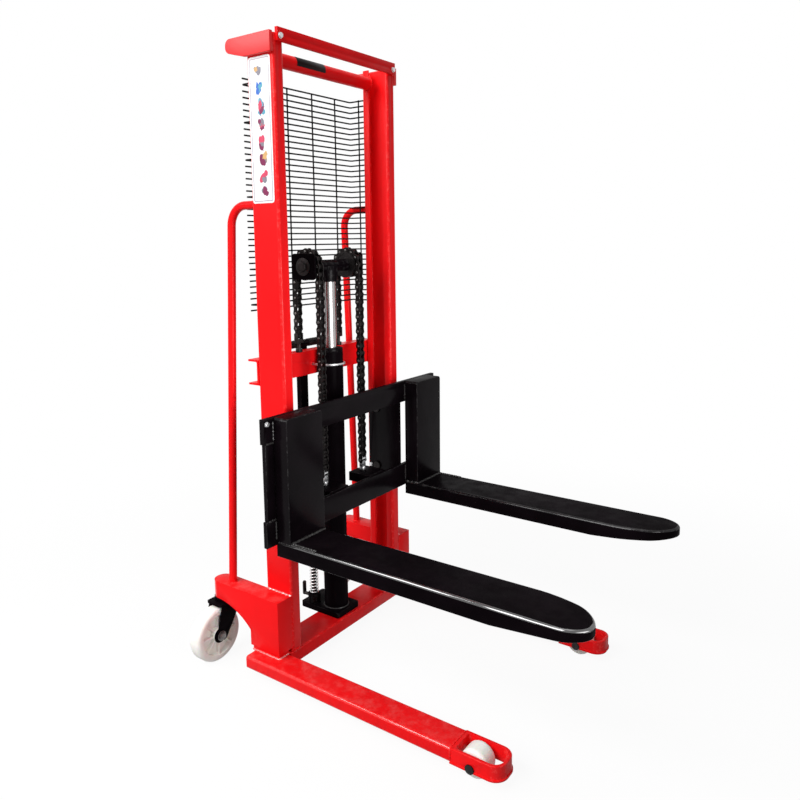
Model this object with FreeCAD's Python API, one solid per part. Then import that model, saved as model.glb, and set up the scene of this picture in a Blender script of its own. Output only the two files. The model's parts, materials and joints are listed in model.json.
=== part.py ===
import FreeCAD, Part
import math
import os

Vec = FreeCAD.Vector

# Hand pallet stacker, millimetres. While it is modelled, X = 0 is the front face of the mast,
# +X points along the forks, +Y is the operator's left and Z = 0 is the floor.

# Mast columns: lipped C sections that open towards each other
MAST_WIDTH = 594.0
COLUMN_DEPTH = 110.0
COLUMN_WIDTH = 42.0
COLUMN_WALL = 5.0
COLUMN_LIP = 28.0
COLUMN_CORNER = 9.0
COLUMN_TOP = 1965.0

# Flat bar across the column tops, and the plates outside them
TOP_BAR_LENGTH = 576.0
TOP_BAR_HEIGHT = 38.0
TOP_BAR_THICK = 10.0
TOP_BAR_RISE = 15.0
TOP_BOLT_RADIUS = 4.0
TOP_BOLT_HEAD_RADIUS = 6.5
TOP_BOLT_HEAD = 5.0
TOP_BOLT_DROP = 8.0
SIDE_PLATE_LENGTH = 184.0
SIDE_PLATE_HEIGHT = 58.0
SIDE_PLATE_TAIL = 38.0
SIDE_PLATE_THICK = 14.0
SIDE_PLATE_RISE = 4.0
SIDE_PLATE_ROUND = 18.5

# Round tie bar under the column tops
TIE_BAR_RADIUS = 22.0
TIE_BAR_WALL = 4.0
TIE_BAR_DROP = 45.0
TIE_BAR_INSET = 22.0

# Rolled channel across the back of the columns
CHANNEL_HEIGHT = 80.0
CHANNEL_FLANGE = 43.0
CHANNEL_WALL = 6.0
CHANNEL_BOTTOM = 932.0
CHANNEL_ROUND = 5.0

# Base: cross beam and straddle legs
BEAM_HEIGHT = 46.0
BEAM_WALL = 5.0
BEAM_ROUND = 6.0
LEG_OUTER_WIDTH = 794.0
LEG_WIDTH = 90.0
LEG_BOTTOM = 32.0
LEG_HEIGHT = 42.0
LEG_WALL = 5.0
LEG_ROUND = 8.0
LEG_REAR = 112.0
LEG_LENGTH = 755.0

# Front rollers in rolled strap housings at the leg tips
HOUSING_LENGTH = 147.0
HOUSING_WALL = 9.0
HOUSING_REAR_WALL = 12.0
HOUSING_ROUND = 36.0
HOUSING_OPENING_ROUND = 8.0
HOUSING_LIP = 3.0
HOUSING_LIP_HEIGHT = 5.0
HOUSING_EDGE = 2.5
ROLLER_RADIUS = 40.0
ROLLER_WIDTH = 56.0
ROLLER_SHOULDER = 12.0
ROLLER_HUB_RADIUS = 18.0
ROLLER_HUB_PROUD = 6.0
ROLLER_SETBACK = 88.0
ROLLER_AXLE_RADIUS = 10.0
ROLLER_AXLE_HEAD_RADIUS = 13.0
ROLLER_AXLE_HEAD = 4.0

# Caster brackets: arched boxes outside the columns, on foot plates
BRACKET_WIDTH = 64.0
BRACKET_REACH = 308.0
BRACKET_POST = 124.0
BRACKET_TOP = 266.0
BRACKET_ARM = 58.0
BRACKET_WALL = 6.0
BRACKET_ARCH_START = 16.0
BRACKET_ARCH_DEPTH = 65.0
BRACKET_ARCH_BULGE = 19.0
BRACKET_TAIL_FLAT = 1.0
FOOT_HEIGHT = 19.0
FOOT_INSET = 9.0

# Casters
CASTER_SETBACK = 281.0
CASTER_TRAIL = 47.0
CASTER_WHEEL_RADIUS = 90.0
CASTER_WHEEL_WIDTH = 50.0
CASTER_TREAD_ROUND = 13.0
CASTER_RIM = 22.0
CASTER_WEB = 10.0
CASTER_HUB_RADIUS = 25.0
CASTER_RIB_COUNT = 8
CASTER_RIB = 5.0
CASTER_RIB_INSET = 5.0
CASTER_HUB_PROUD = 1.5
CASTER_AXLE_RADIUS = 8.0
CASTER_AXLE_HEAD_RADIUS = 12.0
CASTER_AXLE_HEAD = 7.0
CASTER_COVER_RADIUS = 25.0
YOKE_PLATE = 7.0
YOKE_ARM = 6.0
YOKE_SIDE_GAP = 3.0
YOKE_TOP_GAP = 7.0
YOKE_FRONT = 34.0
YOKE_BACK = 48.0
YOKE_ARM_FRONT = 26.0
YOKE_ARM_SHOULDER = 34.0
YOKE_ARM_BACK = 36.0
YOKE_EYE_RADIUS = 19.0
YOKE_ROUND = 10.0
KINGPIN_RADIUS = 10.0
KINGPIN_NUT_RADIUS = 15.0
KINGPIN_NUT = 8.0
SWIVEL_HEAD_RADIUS = 31.0

# Push handles
HANDLE_RADIUS = 13.0
HANDLE_WALL = 2.5
HANDLE_SETBACK = 222.0
HANDLE_FOOT_SETBACK = 233.0
HANDLE_END_HEIGHT = 1487.0
HANDLE_BEND = 60.0

# Wire guard behind the mast
GUARD_WIRE = 4.0
GUARD_SINK = 0.4
GUARD_BOTTOM = 1160.0
GUARD_ROWS = 39
GUARD_ROW_PITCH = 18.6
GUARD_COLUMNS = 4
GUARD_COLUMN_PITCH = 120.0
GUARD_DEPTH = 62.0
GUARD_WING_INSET = 5.0
GUARD_END_INSET = 14.0

# Lift cylinder, its base plate and clamp
CYLINDER_RADIUS = 42.0
CYLINDER_BORE_RADIUS = 30.0
CYLINDER_TOP = 1006.0
GLAND_HEIGHT = 14.0
GLAND_SPIGOT = 20.0
GLAND_CHAMFER = 3.0
ROD_RADIUS = 22.5
PISTON_HEIGHT = 40.0
PISTON_REST = 232.0
BASE_PLATE_FRONT = 12.0
BASE_PLATE_LENGTH = 172.0
BASE_PLATE_WIDTH = 116.0
BASE_PLATE_THICK = 20.0
BASE_PLATE_ROUND = 8.0
CLAMP_WIRE_RADIUS = 4.0
CLAMP_DROP = 46.0
CLAMP_TAIL = 14.0
CLAMP_NUT_RADIUS = 8.0
CLAMP_NUT = 7.0

# Hand pump beside the cylinder
PUMP_SETBACK = 142.0
PUMP_OFFSET = -34.0
PUMP_BODY_RADIUS = 22.0
PUMP_BODY_HEIGHT = 34.0
PLUNGER_RADIUS = 9.0
PLUNGER_DEPTH = 32.5
PLUNGER_ENGAGED = 12.0
PLUNGER_CAP_RADIUS = 17.0
PLUNGER_CAP = 9.0
SPRING_WIRE_RADIUS = 2.0
SPRING_RADIUS = 14.0
SPRING_TURNS = 11
SPRING_LENGTH = 120.0
LEVER_PIVOT_AHEAD = 22.0
LEVER_PIVOT_RISE = 20.0
LEVER_PIN_RADIUS = 8.0
LEVER_HUB_RADIUS = 12.5
LEVER_HUB_WIDTH = 30.0
LEVER_NOSE_RADIUS = 10.0
LEVER_TUBE_WIDTH = 40.0
LEVER_TUBE_DEPTH = 20.0
LEVER_TUBE_ROUND = 4.0
LEVER_TUBE_CLEAR = 6.0
LEVER_TOP = 1030.0
LEVER_GRIP_RADIUS = 12.5
LEVER_GRIP_LENGTH = 190.0
LUG_THICK = 12.0
LUG_ROUND = 14.0
VALVE_STEM_RADIUS = 6.0
VALVE_STEM_LENGTH = 22.0
VALVE_HANDLE_LENGTH = 52.0
VALVE_HANDLE_WIDTH = 14.0
VALVE_HANDLE_THICK = 6.0
VALVE_HEIGHT = 20.0

# Lifting head on the rod: crosshead, axle and chain wheels
WHEEL_HEIGHT = 1295.0
CHAIN_OFFSET = 102.0
WHEEL_WIDTH = 31.0
WHEEL_FLANGE = 3.0
WHEEL_FLANGE_RADIUS = 44.0
WHEEL_FACE_RECESS = 2.0
WHEEL_HUB_RADIUS = 26.0
WHEEL_AXLE_RADIUS = 12.5
WHEEL_NUT_RADIUS = 15.0
WHEEL_NUT = 10.0
WHEEL_WASHER_RADIUS = 29.0
WHEEL_WASHER = 3.0
CROSSHEAD_RADIUS = 20.0
SOCKET_RADIUS = 30.0
SOCKET_DROP = 53.0
SOCKET_DEPTH = 24.0
CHEEK_WIDTH = 100.0
CHEEK_HEIGHT = 84.0
CHEEK_THICK = 6.0
CHEEK_ROUND = 12.0

# Roller chain
CHAIN_PITCH = 25.4
CHAIN_WRAP_LINKS = 6
CHAIN_PLATE_HEIGHT = 21.0
CHAIN_PLATE_END = 10.0
CHAIN_PLATE_THICK = 2.8
CHAIN_INNER_WIDTH = 13.4
CHAIN_ROLLER_RADIUS = 7.9
CHAIN_PIN_RADIUS = 4.0
ANCHOR_STUD_RADIUS = 6.0
ANCHOR_EYE_WIDTH = 14.0
ANCHOR_EYE_HEIGHT = 24.0
ANCHOR_EYE_TOP = 9.0
ANCHOR_WALL = 5.0
ANCHOR_NUT_RADIUS = 11.0
ANCHOR_NUT = 12.0

# Forks and carriage
FORK_TOP = 503.0
FORK_HEIGHT = 47.0
FORK_WIDTH = 155.0
FORK_SPAN = 822.0
FORK_TIP = 1000.0
FORK_TIP_ROUND = 72.0
FORK_EDGE = 8.0
FORK_WALL = 6.0
FORK_TAPER_LENGTH = 240.0
FORK_TAPER_RISE = 20.0
UPRIGHT_BACK = 59.0
UPRIGHT_DEPTH = 54.0
UPRIGHT_HEIGHT = 372.0
UPRIGHT_ROUND = 10.0
UPRIGHT_WALL = 6.0
UPRIGHT_SEAT = 3.0
BAR_THICK = 14.0
BAR_LENGTH = 900.0
UPPER_BAR_HEIGHT = 74.0
LOWER_BAR_HEIGHT = 80.0
LOWER_BAR_DROP = 13.0
STRIP_WIDTH = 38.0
STRIP_INSET = 6.0
ROLLER_PLATE_THICK = 12.0
ROLLER_PLATE_GAP = 6.0
ROLLER_PLATE_REAR = 90.0
ROLLER_PLATE_DROP = 7.0
ROLLER_PLATE_LAP = 20.0
ROLLER_PLATE_ROUND = 15.0
GUIDE_ROLLER_SIDE_GAP = 0.3
GUIDE_ROLLER_WIDTH = 27.0
GUIDE_ROLLER_ROUND = 3.0
GUIDE_ROLLER_LOWER_RISE = 45.0
GUIDE_ROLLER_UPPER_RISE = 262.0
GUIDE_AXLE_RADIUS = 12.0
GUIDE_AXLE_HEAD_RADIUS = 14.0
GUIDE_AXLE_HEAD = 5.0
ANCHOR_BLOCK_LENGTH = 90.0
ANCHOR_BLOCK_WIDTH = 92.0
ANCHOR_BLOCK_HEIGHT = 33.0
ANCHOR_BLOCK_RISE = 3.0
CARRIAGE_BOLT_RADIUS = 4.0
CARRIAGE_BOLT_HEAD_RADIUS = 6.5
CARRIAGE_BOLT_HEAD = 5.0
STOP_BOLT_INSET = 16.0

# Clearances, and the margin that edges are picked by
RUNNING_FIT = 0.05
FACE_GAP = 0.3
PICK_MARGIN = 0.5

# Places worked out from the sizes above
COLUMN_OUTER = MAST_WIDTH / 2
COLUMN_INNER = COLUMN_OUTER - COLUMN_WIDTH
COLUMN_CENTRE = -COLUMN_DEPTH / 2
TOP_BAR_BOTTOM = COLUMN_TOP + TOP_BAR_RISE - TOP_BAR_HEIGHT
TOP_BOLT_HEIGHT = COLUMN_TOP - TOP_BOLT_DROP
BEAM_TOP = LEG_BOTTOM + BEAM_HEIGHT
LEG_OUTER = LEG_OUTER_WIDTH / 2
LEG_INNER = LEG_OUTER - LEG_WIDTH
LEG_CENTRE = LEG_OUTER - LEG_WIDTH / 2
LEG_TOP = LEG_BOTTOM + LEG_HEIGHT
LEG_FRONT = LEG_LENGTH - LEG_REAR
ROLLER_X = LEG_FRONT + HOUSING_LENGTH - ROLLER_SETBACK
BRACKET_OUTER = COLUMN_OUTER + BRACKET_WIDTH
BRACKET_CENTRE = COLUMN_OUTER + BRACKET_WIDTH / 2
BRACKET_BOTTOM = LEG_TOP + FOOT_HEIGHT
BRACKET_UNDERSIDE = BRACKET_TOP - BRACKET_ARM
CHANNEL_TOP = CHANNEL_BOTTOM + CHANNEL_HEIGHT
YOKE_BOTTOM = 2 * CASTER_WHEEL_RADIUS + YOKE_TOP_GAP
YOKE_TOP = YOKE_BOTTOM + YOKE_PLATE
YOKE_INNER = CASTER_WHEEL_WIDTH / 2 + YOKE_SIDE_GAP
YOKE_OUTER = YOKE_INNER + YOKE_ARM
CYLINDER_X = -(COLUMN_DEPTH - CYLINDER_RADIUS - FACE_GAP)
BASE_PLATE_TOP = BEAM_TOP + BASE_PLATE_THICK
PUMP_TOP = BASE_PLATE_TOP + PUMP_BODY_HEIGHT
PLUNGER_CAP_BOTTOM = PUMP_TOP + SPRING_LENGTH
PLUNGER_CAP_TOP = PLUNGER_CAP_BOTTOM + PLUNGER_CAP
LEVER_PIVOT_X = LEVER_PIVOT_AHEAD - PUMP_SETBACK
LEVER_PIVOT_Z = PLUNGER_CAP_TOP + LEVER_PIVOT_RISE
LEVER_TUBE_FRONT = -(COLUMN_DEPTH + CHANNEL_FLANGE + LEVER_TUBE_CLEAR)
WHEEL_PITCH_RADIUS = CHAIN_PITCH / (2 * math.sin(math.pi / (2 * CHAIN_WRAP_LINKS)))
CHAIN_FRONT_X = CYLINDER_X + WHEEL_PITCH_RADIUS
CHAIN_REAR_X = CYLINDER_X - WHEEL_PITCH_RADIUS
FORK_OUTER = FORK_SPAN / 2
FORK_INNER = FORK_OUTER - FORK_WIDTH
FORK_BOTTOM = FORK_TOP - FORK_HEIGHT
BAR_BACK = UPRIGHT_BACK - BAR_THICK
UPRIGHT_TOP = FORK_TOP + UPRIGHT_HEIGHT
UPPER_BAR_BOTTOM = UPRIGHT_TOP - UPPER_BAR_HEIGHT
LOWER_BAR_BOTTOM = FORK_TOP - LOWER_BAR_DROP
LOWER_BAR_TOP = LOWER_BAR_BOTTOM + LOWER_BAR_HEIGHT
ROLLER_PLATE_OUTER = COLUMN_INNER - ROLLER_PLATE_GAP
ROLLER_PLATE_INNER = ROLLER_PLATE_OUTER - ROLLER_PLATE_THICK
ROLLER_PLATE_TOP = UPPER_BAR_BOTTOM + ROLLER_PLATE_LAP
GUIDE_ROLLER_RADIUS = COLUMN_DEPTH / 2 - COLUMN_WALL - GUIDE_ROLLER_SIDE_GAP
GUIDE_ROLLER_Y = COLUMN_OUTER - COLUMN_WIDTH / 2
ANCHOR_BLOCK_TOP = LOWER_BAR_TOP + ANCHOR_BLOCK_RISE
FRONT_STRAND_ROOM = WHEEL_HEIGHT - ANCHOR_BLOCK_TOP - ANCHOR_NUT - ANCHOR_EYE_HEIGHT
REAR_STRAND_ROOM = WHEEL_HEIGHT - CHANNEL_TOP - ANCHOR_NUT - ANCHOR_EYE_HEIGHT
CHAIN_FRONT_LINKS = 2 * int((FRONT_STRAND_ROOM / CHAIN_PITCH - 1) / 2) + 1
CHAIN_REAR_LINKS = 2 * int((REAR_STRAND_ROOM / CHAIN_PITCH - 1) / 2) + 1
CHAIN_FRONT_END = WHEEL_HEIGHT - CHAIN_FRONT_LINKS * CHAIN_PITCH
CHAIN_REAR_END = WHEEL_HEIGHT - CHAIN_REAR_LINKS * CHAIN_PITCH
CASTER_AXLE_END = YOKE_OUTER + CASTER_AXLE_HEAD
REAR_REACH = CASTER_SETBACK + CASTER_AXLE_END
RIGHT_REACH = BRACKET_CENTRE + CASTER_TRAIL + CASTER_WHEEL_RADIUS
ORIGIN_SHIFT = Vec((REAR_REACH - FORK_TIP) / 2, (RIGHT_REACH - BAR_LENGTH / 2) / 2, 0)

X_AXIS = Vec(1, 0, 0)
Y_AXIS = Vec(0, 1, 0)
Z_AXIS = Vec(0, 0, 1)


# Helpers: outlines with tangent arcs, prisms and turned shapes
def corner_arc(before, corner, after, radius):
    """Start, middle and end of the arc that rounds one corner."""
    to_before = (before - corner).normalize()
    to_after = (after - corner).normalize()
    half_angle = to_before.getAngle(to_after) / 2
    reach = radius / math.tan(half_angle)
    inward = (to_before + to_after).normalize()
    middle = corner + inward * (radius / math.sin(half_angle) - radius)
    return corner + to_before * reach, middle, corner + to_after * reach


def rounded_path(points, radii, closed):
    """Straight runs joined by tangent arcs, as one wire."""
    count = len(points)
    stops = []
    for index, point in enumerate(points):
        inside = closed or 0 < index < count - 1
        if radii[index] > 0 and inside:
            stops.append(corner_arc(points[index - 1], point, points[(index + 1) % count], radii[index]))
        else:
            stops.append((point, None, point))
    edges = []
    runs = count if closed else count - 1
    for index, (start, middle, end) in enumerate(stops):
        if middle is not None:
            edges.append(Part.Arc(start, middle, end).toShape())
        if index < runs:
            following = stops[(index + 1) % count][0]
            if (following - end).Length > 0.001:
                edges.append(Part.LineSegment(end, following).toShape())
    return Part.Wire(edges)


def prism(points, radii, travel):
    """Extrude a closed outline with rounded corners."""
    return Part.Face(rounded_path(points, radii, True)).extrude(travel)


def plan_prism(outline, low, high):
    """Outline of (x, y, corner radius), extruded upwards."""
    points = [Vec(x, y, low) for x, y, radius in outline]
    return prism(points, [corner[2] for corner in outline], Z_AXIS * (high - low))


def side_prism(outline, low, high):
    """Outline of (x, z, corner radius), extruded along Y."""
    points = [Vec(x, low, z) for x, z, radius in outline]
    return prism(points, [corner[2] for corner in outline], Y_AXIS * (high - low))


def front_prism(outline, low, high):
    """Outline of (y, z, corner radius), extruded along X."""
    points = [Vec(low, y, z) for y, z, radius in outline]
    return prism(points, [corner[2] for corner in outline], X_AXIS * (high - low))


def rectangle(low_u, high_u, low_v, high_v, radius):
    """Corners of a rectangle with one corner radius."""
    return [
        (low_u, low_v, radius),
        (high_u, low_v, radius),
        (high_u, high_v, radius),
        (low_u, high_v, radius),
    ]


def box(x_span, y_span, z_span):
    """Box between two limits on each axis."""
    size = [span[1] - span[0] for span in (x_span, y_span, z_span)]
    return Part.makeBox(size[0], size[1], size[2], Vec(x_span[0], y_span[0], z_span[0]))


def rod(radius, start, end):
    """Cylinder between two points."""
    return Part.makeCylinder(radius, (end - start).Length, start, end - start)


def turned(outline, centre, axis):
    """Revolve an outline of (radius, distance along the axis, corner radius)."""
    points = [Vec(radius, 0, along) for radius, along, corner in outline]
    face = Part.Face(rounded_path(points, [corner[2] for corner in outline], True))
    solid = face.revolve(Vec(0, 0, 0), Z_AXIS, 360)
    solid.Placement = FreeCAD.Placement(centre, FreeCAD.Rotation(Z_AXIS, axis))
    return solid


def swept_tube(path, radius, start, direction):
    """Round bar along a path of straight runs and arcs."""
    ring = Part.Wire([Part.Circle(start, direction, radius).toShape()])
    return path.makePipeShell([ring], True, False)


def other_side(shape):
    """The same piece on the right of the machine."""
    return shape.mirror(Vec(0, 0, 0), Y_AXIS)


def both_sides(shape):
    """A left piece and its twin on the right, as one group."""
    return Part.makeCompound([shape, other_side(shape)])


# Mast
def mast_column():
    wall_round = COLUMN_CORNER - COLUMN_WALL
    inside_outer = COLUMN_OUTER - COLUMN_WALL
    inside_inner = COLUMN_INNER + COLUMN_WALL
    rear = -COLUMN_DEPTH
    section = [
        (0, COLUMN_OUTER, COLUMN_CORNER),
        (rear, COLUMN_OUTER, COLUMN_CORNER),
        (rear, COLUMN_INNER, COLUMN_CORNER),
        (rear + COLUMN_LIP, COLUMN_INNER, 0),
        (rear + COLUMN_LIP, inside_inner, 0),
        (rear + COLUMN_WALL, inside_inner, wall_round),
        (rear + COLUMN_WALL, inside_outer, wall_round),
        (-COLUMN_WALL, inside_outer, wall_round),
        (-COLUMN_WALL, inside_inner, wall_round),
        (-COLUMN_LIP, inside_inner, 0),
        (-COLUMN_LIP, COLUMN_INNER, 0),
        (0, COLUMN_INNER, COLUMN_CORNER),
    ]
    column = plan_prism(section, BEAM_TOP, COLUMN_TOP)
    hole_start = Vec(-COLUMN_DEPTH / 2, GUIDE_ROLLER_Y, TOP_BOLT_HEIGHT)
    return column.cut(rod(TOP_BOLT_RADIUS + RUNNING_FIT, hole_start, hole_start + X_AXIS * COLUMN_DEPTH))


def top_front_bar():
    half = TOP_BAR_LENGTH / 2
    bar = box((0, TOP_BAR_THICK), (-half, half), (TOP_BAR_BOTTOM, TOP_BAR_BOTTOM + TOP_BAR_HEIGHT))
    hole_start = Vec(0, GUIDE_ROLLER_Y, TOP_BOLT_HEIGHT)
    hole = rod(TOP_BOLT_RADIUS + RUNNING_FIT, hole_start, hole_start + X_AXIS * TOP_BAR_THICK)
    return bar.cut(hole).cut(other_side(hole))


def top_bar_bolts():
    centre = Vec(0, GUIDE_ROLLER_Y, TOP_BOLT_HEIGHT)
    nut_back = centre - X_AXIS * (COLUMN_WALL + TOP_BOLT_HEAD)
    head_back = centre + X_AXIS * TOP_BAR_THICK
    shank = rod(TOP_BOLT_RADIUS, nut_back, head_back)
    nut = rod(TOP_BOLT_HEAD_RADIUS, nut_back, nut_back + X_AXIS * TOP_BOLT_HEAD)
    head = rod(TOP_BOLT_HEAD_RADIUS, head_back, head_back + X_AXIS * TOP_BOLT_HEAD)
    return both_sides(shank.fuse([nut, head]))


def top_side_plates():
    top = COLUMN_TOP + SIDE_PLATE_RISE
    bottom = top - SIDE_PLATE_HEIGHT
    outline = [
        (0, top, 0),
        (0, bottom, 0),
        (-COLUMN_DEPTH, bottom, SIDE_PLATE_ROUND),
        (-SIDE_PLATE_LENGTH, top - SIDE_PLATE_TAIL, SIDE_PLATE_ROUND),
        (-SIDE_PLATE_LENGTH, top, SIDE_PLATE_ROUND),
    ]
    return both_sides(side_prism(outline, COLUMN_OUTER, COLUMN_OUTER + SIDE_PLATE_THICK))


def top_tie_bar():
    centre = Vec(TIE_BAR_INSET - COLUMN_DEPTH, 0, COLUMN_TOP - TIE_BAR_DROP)
    reach = Y_AXIS * COLUMN_INNER
    bar = rod(TIE_BAR_RADIUS, centre - reach, centre + reach)
    return bar.cut(rod(TIE_BAR_RADIUS - TIE_BAR_WALL, centre - reach, centre + reach))


def rear_cross_channel():
    web = -COLUMN_DEPTH - CHANNEL_WALL
    tip = -COLUMN_DEPTH - CHANNEL_FLANGE
    section = [
        (-COLUMN_DEPTH, CHANNEL_BOTTOM, 0),
        (-COLUMN_DEPTH, CHANNEL_TOP, 0),
        (tip, CHANNEL_TOP, 0),
        (tip, CHANNEL_TOP - CHANNEL_WALL, 0),
        (web, CHANNEL_TOP - CHANNEL_WALL, CHANNEL_ROUND),
        (web, CHANNEL_BOTTOM + CHANNEL_WALL, CHANNEL_ROUND),
        (tip, CHANNEL_BOTTOM + CHANNEL_WALL, 0),
        (tip, CHANNEL_BOTTOM, 0),
    ]
    channel = side_prism(section, -COLUMN_OUTER, COLUMN_OUTER)
    start = Vec(tip, CYLINDER_RADIUS + CLAMP_WIRE_RADIUS + FACE_GAP, CHANNEL_TOP - CLAMP_DROP)
    hole = rod(CLAMP_WIRE_RADIUS + RUNNING_FIT, start, start + X_AXIS * CHANNEL_FLANGE)
    return channel.cut(hole).cut(other_side(hole))


# Base
def base_cross_beam():
    outer = rectangle(-COLUMN_DEPTH, 0, LEG_BOTTOM, BEAM_TOP, BEAM_ROUND)
    bore = rectangle(
        BEAM_WALL - COLUMN_DEPTH,
        -BEAM_WALL,
        LEG_BOTTOM + BEAM_WALL,
        BEAM_TOP - BEAM_WALL,
        BEAM_ROUND - BEAM_WALL,
    )
    return side_prism(outer, -LEG_INNER, LEG_INNER).cut(side_prism(bore, -LEG_INNER, LEG_INNER))


def straddle_leg():
    outer = rectangle(LEG_INNER, LEG_OUTER, LEG_BOTTOM, LEG_TOP, LEG_ROUND)
    bore = rectangle(
        LEG_INNER + LEG_WALL,
        LEG_OUTER - LEG_WALL,
        LEG_BOTTOM + LEG_WALL,
        LEG_TOP - LEG_WALL,
        LEG_ROUND - LEG_WALL,
    )
    return front_prism(outer, -LEG_REAR, LEG_FRONT).cut(front_prism(bore, LEG_WALL - LEG_REAR, LEG_FRONT))


def housing_outline(margin):
    """Plan of the roller housing, grown by a margin on its rolled sides."""
    tip = LEG_FRONT + HOUSING_LENGTH + margin
    return [
        (LEG_FRONT, LEG_INNER - margin, 0),
        (tip, LEG_INNER - margin, HOUSING_ROUND + margin),
        (tip, LEG_OUTER + margin, HOUSING_ROUND + margin),
        (LEG_FRONT, LEG_OUTER + margin, 0),
    ]


def roller_housing():
    opening = [
        (LEG_FRONT + HOUSING_REAR_WALL, LEG_INNER + HOUSING_WALL, HOUSING_OPENING_ROUND),
        (LEG_FRONT + HOUSING_LENGTH - HOUSING_WALL, LEG_INNER + HOUSING_WALL, HOUSING_ROUND - HOUSING_WALL),
        (LEG_FRONT + HOUSING_LENGTH - HOUSING_WALL, LEG_OUTER - HOUSING_WALL, HOUSING_ROUND - HOUSING_WALL),
        (LEG_FRONT + HOUSING_REAR_WALL, LEG_OUTER - HOUSING_WALL, HOUSING_OPENING_ROUND),
    ]
    strap = plan_prism(housing_outline(0), LEG_BOTTOM, LEG_TOP)
    rim = [edge for edge in strap.Edges if edge.BoundBox.ZMin > LEG_TOP - PICK_MARGIN]
    rolled_rim = [edge for edge in rim if edge.BoundBox.XMax > LEG_FRONT + PICK_MARGIN]
    strap = strap.makeFillet(HOUSING_EDGE, rolled_rim)
    lip = plan_prism(housing_outline(HOUSING_LIP), LEG_BOTTOM, LEG_BOTTOM + HOUSING_LIP_HEIGHT)
    ring = strap.fuse(lip).cut(plan_prism(opening, LEG_BOTTOM, LEG_TOP))
    centre = Vec(ROLLER_X, LEG_CENTRE, ROLLER_RADIUS)
    bore = rod(ROLLER_AXLE_RADIUS + RUNNING_FIT, centre - Y_AXIS * LEG_WIDTH, centre + Y_AXIS * LEG_WIDTH)
    ring = ring.cut(bore)
    for side in (-1, 1):
        face = centre + Y_AXIS * (side * LEG_WIDTH / 2)
        ring = ring.cut(rod(ROLLER_AXLE_HEAD_RADIUS + FACE_GAP, face, face + Y_AXIS * (side * LEG_WIDTH)))
    return ring


def roller_axles():
    centre = Vec(ROLLER_X, LEG_CENTRE, ROLLER_RADIUS)
    half = Y_AXIS * (LEG_WIDTH / 2)
    head = Y_AXIS * ROLLER_AXLE_HEAD
    pin = rod(ROLLER_AXLE_RADIUS, centre - half, centre + half)
    outer_head = rod(ROLLER_AXLE_HEAD_RADIUS, centre + half, centre + half + head)
    inner_head = rod(ROLLER_AXLE_HEAD_RADIUS, centre - half - head, centre - half)
    return both_sides(pin.fuse([outer_head, inner_head]))


def front_roller():
    half = ROLLER_WIDTH / 2
    proud = half + ROLLER_HUB_PROUD
    bore = ROLLER_AXLE_RADIUS + RUNNING_FIT
    outline = [
        (bore, -proud, 0),
        (ROLLER_HUB_RADIUS, -proud, 0),
        (ROLLER_HUB_RADIUS, -half, 0),
        (ROLLER_RADIUS, -half, ROLLER_SHOULDER),
        (ROLLER_RADIUS, half, ROLLER_SHOULDER),
        (ROLLER_HUB_RADIUS, half, 0),
        (ROLLER_HUB_RADIUS, proud, 0),
        (bore, proud, 0),
    ]
    return turned(outline, Vec(ROLLER_X, LEG_CENTRE, ROLLER_RADIUS), Y_AXIS)


# Tail: brackets, casters and handles
def bracket_profile(wall):
    """Side view of the arched bracket, drawn in by a wall thickness."""
    post = BRACKET_POST - wall
    top = BRACKET_TOP - wall
    under = BRACKET_UNDERSIDE + wall
    rear = BRACKET_REACH - wall
    arch_start = Vec(BRACKET_ARCH_START - BRACKET_REACH, 0, under)
    arch_end = Vec(-post, 0, under - BRACKET_ARCH_DEPTH)
    chord = arch_end - arch_start
    bulge = Vec(-chord.z, 0, chord.x).normalize() * BRACKET_ARCH_BULGE
    arch_middle = (arch_start + arch_end) * 0.5 + bulge
    corners = [
        arch_end,
        Vec(-post, 0, BRACKET_BOTTOM),
        Vec(-wall, 0, BRACKET_BOTTOM),
        Vec(-wall, 0, top),
        Vec(-rear, 0, top),
        Vec(-rear, 0, under),
        arch_start,
    ]
    edges = [Part.Arc(arch_start, arch_middle, arch_end).toShape()]
    for start, end in zip(corners, corners[1:]):
        edges.append(Part.LineSegment(start, end).toShape())
    return Part.Face(Part.Wire(edges))


def bracket_block(wall):
    """Bracket body with the rounded tail, drawn in by a wall thickness."""
    width = BRACKET_WIDTH - 2 * wall
    low = COLUMN_OUTER + wall
    rear = wall - BRACKET_REACH
    tail_round = (width - BRACKET_TAIL_FLAT) / 2
    plan = [
        (-wall, low, 0),
        (-wall, low + width, 0),
        (rear, low + width, tail_round),
        (rear, low, tail_round),
    ]
    profile = bracket_profile(wall)
    profile.translate(Y_AXIS * low)
    return profile.extrude(Y_AXIS * width).common(plan_prism(plan, BRACKET_BOTTOM, BRACKET_TOP))


def caster_bracket():
    shell = bracket_block(0).cut(bracket_block(BRACKET_WALL))
    seat = Vec(-CASTER_SETBACK, BRACKET_CENTRE, BRACKET_UNDERSIDE)
    return shell.cut(rod(SWIVEL_HEAD_RADIUS + FACE_GAP, seat - Z_AXIS * BRACKET_ARM, seat))


def bracket_feet():
    span_x = (-BRACKET_POST, -FOOT_INSET)
    span_y = (LEG_INNER + FACE_GAP, BRACKET_OUTER - FOOT_INSET)
    return both_sides(box(span_x, span_y, (LEG_TOP, BRACKET_BOTTOM)))


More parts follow.
